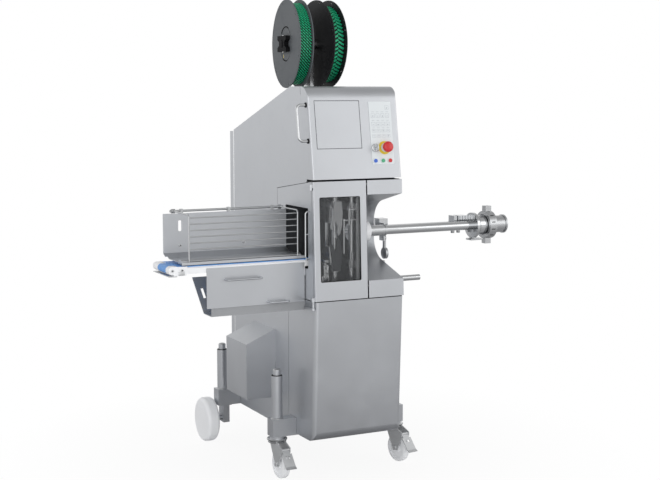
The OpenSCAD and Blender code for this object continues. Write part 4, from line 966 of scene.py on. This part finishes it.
class CLIPPER_OT_belt_lines(bpy.types.Operator):
    """Hinge lines across the discharge belt, and the fittings of its nose"""

    bl_idname = "clipper.belt_lines"
    bl_label = "Belt lines"

    def execute(self, context):
        pitch = sizes().belt_pitch
        count = int(BELT_RUN * MM / pitch)
        bar = (0.0022, 0.176, 0.0008)
        mesh = row_mesh("belt_lines", count, bar, at(-572, 200, 957.1), (pitch, 0, 0), "Belt")
        joined("belt_lines", [mesh], "machine")
        self.nose()
        return {"FINISHED"}

    @staticmethod
    def nose():
        """Blocks at the sides of the belt's nose, the strip under it, and the tray's rolled lip."""
        arc = [(max(NOSE_X + NOSE_RADIUS * math.cos(a), NOSE_LIMIT), NOSE_Z + NOSE_RADIUS * math.sin(a))
               for a in (math.radians(90 + 15 * i) for i in range(13))]
        side = [(-566, NOSE_Z + NOSE_RADIUS), *arc, (-566, NOSE_Z - NOSE_RADIUS)]
        bm = bmesh.new()
        for near, far in ((103.3, 140), (238, 296.7)):
            outline(bm, FLAT @ Matrix.Translation(local(0, near, 0)), side, far - near)
        piece("nose_blocks", bm, ["Nylon"], "machine")
        bm = bmesh.new()
        slab(bm, FLAT, (-600, 101, 915.8), (-566, 299, 919.2), 0.8)
        slab(bm, FLAT, (-560, 100.8, 921), (-534, 103.8, 936), 0.8)
        piece("nose_strip", bm, ["Pressed steel"], "machine")
        roll = [(114.6, 963.8), (114.6, 969), (116.5, 975.5), (121, 980.5), (128, 983), (136, 982.5),
                (145, 977.5), (152, 970.5), (156, 963.8)]
        bm = bmesh.new()
        turn = Matrix.Translation(at(-544, 0, 0)) @ Matrix.Rotation(math.pi / 2, 4, "Z")
        outline(bm, turn, roll, -532)
        piece("tray_lip", bm, ["Blasted steel"], "machine", 50)


class CLIPPER_OT_columns(bpy.types.Operator):
    """Weld beads, dark rings and domed caps on the leg columns"""

    bl_idname = "clipper.columns"
    bl_label = "Leg columns"

    def execute(self, context):
        bm = bmesh.new()
        bead = [(28, 0.1), (27.6, 1.5), (25.5, 3.6), (24.1, 4.6)]
        neck = [(24, 0.1), (24, 0.8), (22.4, 2.4)]
        cap = [(17, 0), (16.4, 2.4), (14.2, 4.8), (10, 6.6), (4, 7.4), (0.01, 7.5)]
        for x in COLUMN_X:
            for y in COLUMN_Y:
                turned_ring(bm, 24.05, bead, Matrix.Translation(at(x, y, 254)), 40)
                turned_ring(bm, 17.2, neck, Matrix.Translation(at(x, y, 442)), 40, 1)
                lathe(bm, cap, Matrix.Translation(at(x, y, 466)), 32)
        piece("column_beads", bm, ["Cast steel", "Dark plastic and painted shade"], "machine")
        return {"FINISHED"}


class CLIPPER_OT_cover_screws(bpy.types.Operator):
    """Socket screws in the rear cover, the guide plate and the conveyor's nose"""

    bl_idname = "clipper.cover_screws"
    bl_label = "Cover screws"

    def execute(self, context):
        rear = [(at(x, 931, z), Vector((0, 1, 0))) for z in (230, 520, 810, 1100, 1390) for x in (28, 392)]
        front = [(-483, 291, 1019), (-198, 291, 1019), (NOSE_X, 103.6, NOSE_Z), (-545, 103.6, NOSE_Z)]
        screws("cover_screws", rear + [(at(*spot), Vector((0, -1, 0))) for spot in front], "machine")
        return {"FINISHED"}


class CLIPPER_OT_rear_louvres(bpy.types.Operator):
    """Cooling slots in the rear cover, drawn as dark bars of painted shade laid on it"""

    bl_idname = "clipper.rear_louvres"
    bl_label = "Rear louvres"

    def execute(self, context):
        lean = (math.radians(-28), 0, 0)
        slot = (0.22, 0.003, 0.006)
        step = (0, 0, 0.020)
        count = sizes().louvre_count
        # Painted shade: each slot is a dark bar on the cover's face, with no opening behind it
        meshes = [row_mesh(f"louvres_{z}", count, slot, at(210, 931.2, z), step, "Dark steel and painted shade", lean)
                  for z in (300, 1180)]
        joined("rear_louvres", meshes, "machine")
        return {"FINISHED"}


class CLIPPER_OT_tube_fittings(bpy.types.Operator):
    """Grooves drawn as dark strips of painted shade, catch plate, nuts and stub by the filling tube, its
    nut's slots as dark plates of painted shade, and the brake's ring
    """

    bl_idname = "clipper.tube_fittings"
    bl_label = "Tube fittings"

    def execute(self, context):
        bm = bmesh.new()
        # Painted shade: the grooves are thin dark strips on the surface, with no cut behind them
        for x in (844, 858, 872):
            slab(bm, FLAT, (x - 0.9, 228.6, 1052), (x + 0.9, 229.3, 1091), 0.0, 1)
        slab(bm, FLAT, (866, 168, 983), (930, 212, 990), 1.5)
        slab(bm, FLAT, (878, 178, 989), (902, 202, 996), 1.0)
        for x in (820, 850):
            lathe(bm, [(9, 0), (9, 14), (8, 15.5)], axis_frame(at(x, 252, 1027.1), (0, 0, -1)), 6)
        lathe(bm, [(8, 0), (8, 20), (7, 22)], axis_frame(at(420, 212, 905), (1, 0, 0)), 24)
        piece("tube_fittings", bm, ["Cast steel", "Engraved line"], "machine")
        bm = bmesh.new()
        # Painted shade: thin dark plates on the nut stand in for the shade in its slots
        for i in range(12):
            turn = Matrix.Rotation(math.radians(30 * i + 15), 4, "X")
            slab(bm, Matrix.Translation(at(963, TUBE_Y, TUBE_Z)) @ turn, (-9, -2, 62.2), (9, 2, 62.8))
        piece("nut_slot_shade", bm, ["Dark plastic and painted shade"], "nut")
        bm = bmesh.new()
        ring = [(43.2, 0), (44.4, 1.2), (44.4, 25.2), (43.2, 26.4)]
        turned_ring(bm, 24.5, ring, axis_frame(at(315.8, TUBE_Y, TUBE_Z), (1, 0, 0)), 64)
        piece("brake_ring", bm, ["Nylon"], "brake")
        return {"FINISHED"}


class CLIPPER_OT_caster_heads(bpy.types.Operator):
    """Bearing rings on the swivel heads of the casters"""

    bl_idname = "clipper.caster_heads"
    bl_label = "Caster heads"

    def execute(self, context):
        for name, x in zip(("left", "right"), COLUMN_X):
            bm = bmesh.new()
            pin = Matrix.Translation(at(x, COLUMN_Y[0], 0))
            for low, wide in ((150, 40), (161, 44)):
                race = [(wide - 4, low), (wide - 1, low + 0.8), (wide, low + 3), (wide, low + 6),
                        (wide - 2, low + 8.4)]
                turned_ring(bm, 29.8, race, pin)
            piece(f"caster_race_{name}", bm, ["Bright steel"], f"{name}_fork")
        return {"FINISHED"}


class CLIPPER_OT_studio(bpy.types.Operator):
    """Pale floor, soft lamps, white surroundings and the camera"""

    bl_idname = "clipper.studio"
    bl_label = "Studio"

    def execute(self, context):
        scene = context.scene
        scene.view_settings.view_transform = "Standard"
        self.surroundings(scene)
        self.floor(scene)
        for lamp in LAMPS:
            self.lamp(scene, *lamp)
        camera = bpy.data.cameras.new("Camera")
        camera.sensor_width = 36
        camera.sensor_fit = "HORIZONTAL"
        camera.lens = EYE_LENS
        eye = bpy.data.objects.new("Camera", camera)
        scene.collection.objects.link(eye)
        eye.location = at(*EYE_PLACE)
        eye.rotation_euler = [math.radians(angle) for angle in EYE_TURN]
        scene.camera = eye
        return {"FINISHED"}

    @staticmethod
    def seen(tree, weights):
        """How much of the plain background a ray sees, by its kind."""
        path = tree.nodes.new("ShaderNodeLightPath")
        total = None
        for label, weight in weights:
            part = math_node(tree, "MULTIPLY", path.outputs[label], weight)
            total = part if total is None else math_node(tree, "MAXIMUM", total, part)
        return total

    def surroundings(self, scene):
        """White for the camera and panes; for metal white at eye level and dimmer overhead."""
        world = bpy.data.worlds.new("Surroundings")
        scene.world = world
        world.use_nodes = True
        tree = world.node_tree
        direction = add(tree, "ShaderNodeTexCoord").outputs["Generated"]
        split = add(tree, "ShaderNodeSeparateXYZ", Vector=direction)
        level = ramp(tree, split.outputs["Z"], 0.15, 0.85, 1.0, 0.48)
        plain = self.seen(tree, (*DIRECT_RAYS, ("Is Glossy Ray", 0.15)))
        strength = math_node(tree, "MAXIMUM", plain, level)
        tree.links.new(strength, tree.nodes["Background"].inputs["Strength"])
        tree.nodes["Background"].inputs["Color"].default_value = (1, 1, 1, 1)

    def floor(self, scene):
        """White for the camera but for the shadow; for metal darker by the feet and dimmer behind."""
        bm = bmesh.new()
        bmesh.ops.create_grid(bm, x_segments=1, y_segments=1, size=40)
        mesh = bpy.data.meshes.new("Floor")
        bm.to_mesh(mesh)
        bm.free()
        floor = bpy.data.objects.new("Floor", mesh)
        scene.collection.objects.link(floor)
        material = bpy.data.materials.new("Pale floor")
        material.use_nodes = True
        tree = material.node_tree
        shader = tree.nodes["Principled BSDF"]
        shader.inputs["Roughness"].default_value = 0.9
        length = tree.nodes.new("ShaderNodeVectorMath")
        length.operation = "LENGTH"
        place = object_place(tree)
        tree.links.new(place, length.inputs[0])
        reach = length.outputs["Value"]
        split = add(tree, "ShaderNodeSeparateXYZ", Vector=place)
        behind = ramp(tree, split.outputs["Y"], 0.0, 2.0, 1.0, 0.82)
        direct = self.seen(tree, DIRECT_RAYS)
        # Painted shade: for metal the floor is darker, and its glow fades almost to nothing by the feet and
        # dims behind, so the low covers mirror a painted shadow
        pale_for = self.seen(tree, (*DIRECT_RAYS, ("Is Diffuse Ray", 1.0)))
        base = mixed(tree, pale_for, (0.34, 0.34, 0.35, 1), (0.9, 0.9, 0.9, 1))
        tree.links.new(base, shader.inputs["Base Color"])
        pale = math_node(tree, "MULTIPLY", direct, ramp(tree, reach, 0.5, 1.5, 0.91, 1.0))
        dimmed = math_node(tree, "MULTIPLY", ramp(tree, reach, 0.6, 5.0, 0.05, 0.8), behind)
        gleam = math_node(tree, "MULTIPLY", self.seen(tree, (("Is Glossy Ray", 1.0),)), dimmed)
        glow = tree.nodes.new("ShaderNodeEmission")
        blend = tree.nodes.new("ShaderNodeMixShader")
        tree.links.new(math_node(tree, "MAXIMUM", pale, gleam), blend.inputs["Fac"])
        tree.links.new(shader.outputs["BSDF"], blend.inputs[1])
        tree.links.new(glow.outputs["Emission"], blend.inputs[2])
        tree.links.new(blend.outputs["Shader"], tree.nodes["Material Output"].inputs["Surface"])
        mesh.materials.append(material)

    @staticmethod
    def lamp(scene, name, place, target, size, power):
        data = bpy.data.lights.new(name, "AREA")
        data.size = size
        data.energy = power
        lamp = bpy.data.objects.new(name, data)
        scene.collection.objects.link(lamp)
        lamp.location = place
        lamp.rotation_euler = (Vector(target) - Vector(place)).to_track_quat("-Z", "Y").to_euler()


STEPS = (
    CLIPPER_OT_finishes, CLIPPER_OT_studio, CLIPPER_OT_windings,
    CLIPPER_OT_spool_fittings, CLIPPER_OT_keypad_marks, CLIPPER_OT_switches,
    CLIPPER_OT_handle_feet, CLIPPER_OT_seam_shade_and_gasket, CLIPPER_OT_clip_head,
    CLIPPER_OT_belt_lines, CLIPPER_OT_columns, CLIPPER_OT_cover_screws,
    CLIPPER_OT_rear_louvres, CLIPPER_OT_tube_fittings, CLIPPER_OT_caster_heads,
)


class CLIPPER_PT_panel(bpy.types.Panel):
    """Lists the sizes, colours and steps of the clipper"""

    bl_idname = "CLIPPER_PT_panel"
    bl_label = "Sausage clipper"
    bl_space_type = "VIEW_3D"
    bl_region_type = "UI"
    bl_category = "Clipper"

    def draw(self, context):
        for group in (context.scene.clipper_sizes, context.scene.clipper_finish):
            for label in group.bl_rna.properties.keys():
                if label not in ("rna_type", "name"):
                    self.layout.prop(group, label)
        for step in STEPS:
            self.layout.operator(step.bl_idname)


CLASSES = (ClipperFinish, ClipperSizes, *STEPS, CLIPPER_PT_panel)


def register():
    for item in CLASSES:
        bpy.utils.register_class(item)
    bpy.types.Scene.clipper_finish = bpy.props.PointerProperty(type=ClipperFinish)
    bpy.types.Scene.clipper_sizes = bpy.props.PointerProperty(type=ClipperSizes)


def unregister():
    del bpy.types.Scene.clipper_sizes
    del bpy.types.Scene.clipper_finish
    for item in reversed(CLASSES):
        bpy.utils.unregister_class(item)


def main():
    register()
    for step in STEPS:
        family, name = step.bl_idname.split(".")
        getattr(getattr(bpy.ops, family), name)()


if __name__ == "__main__":
    main()
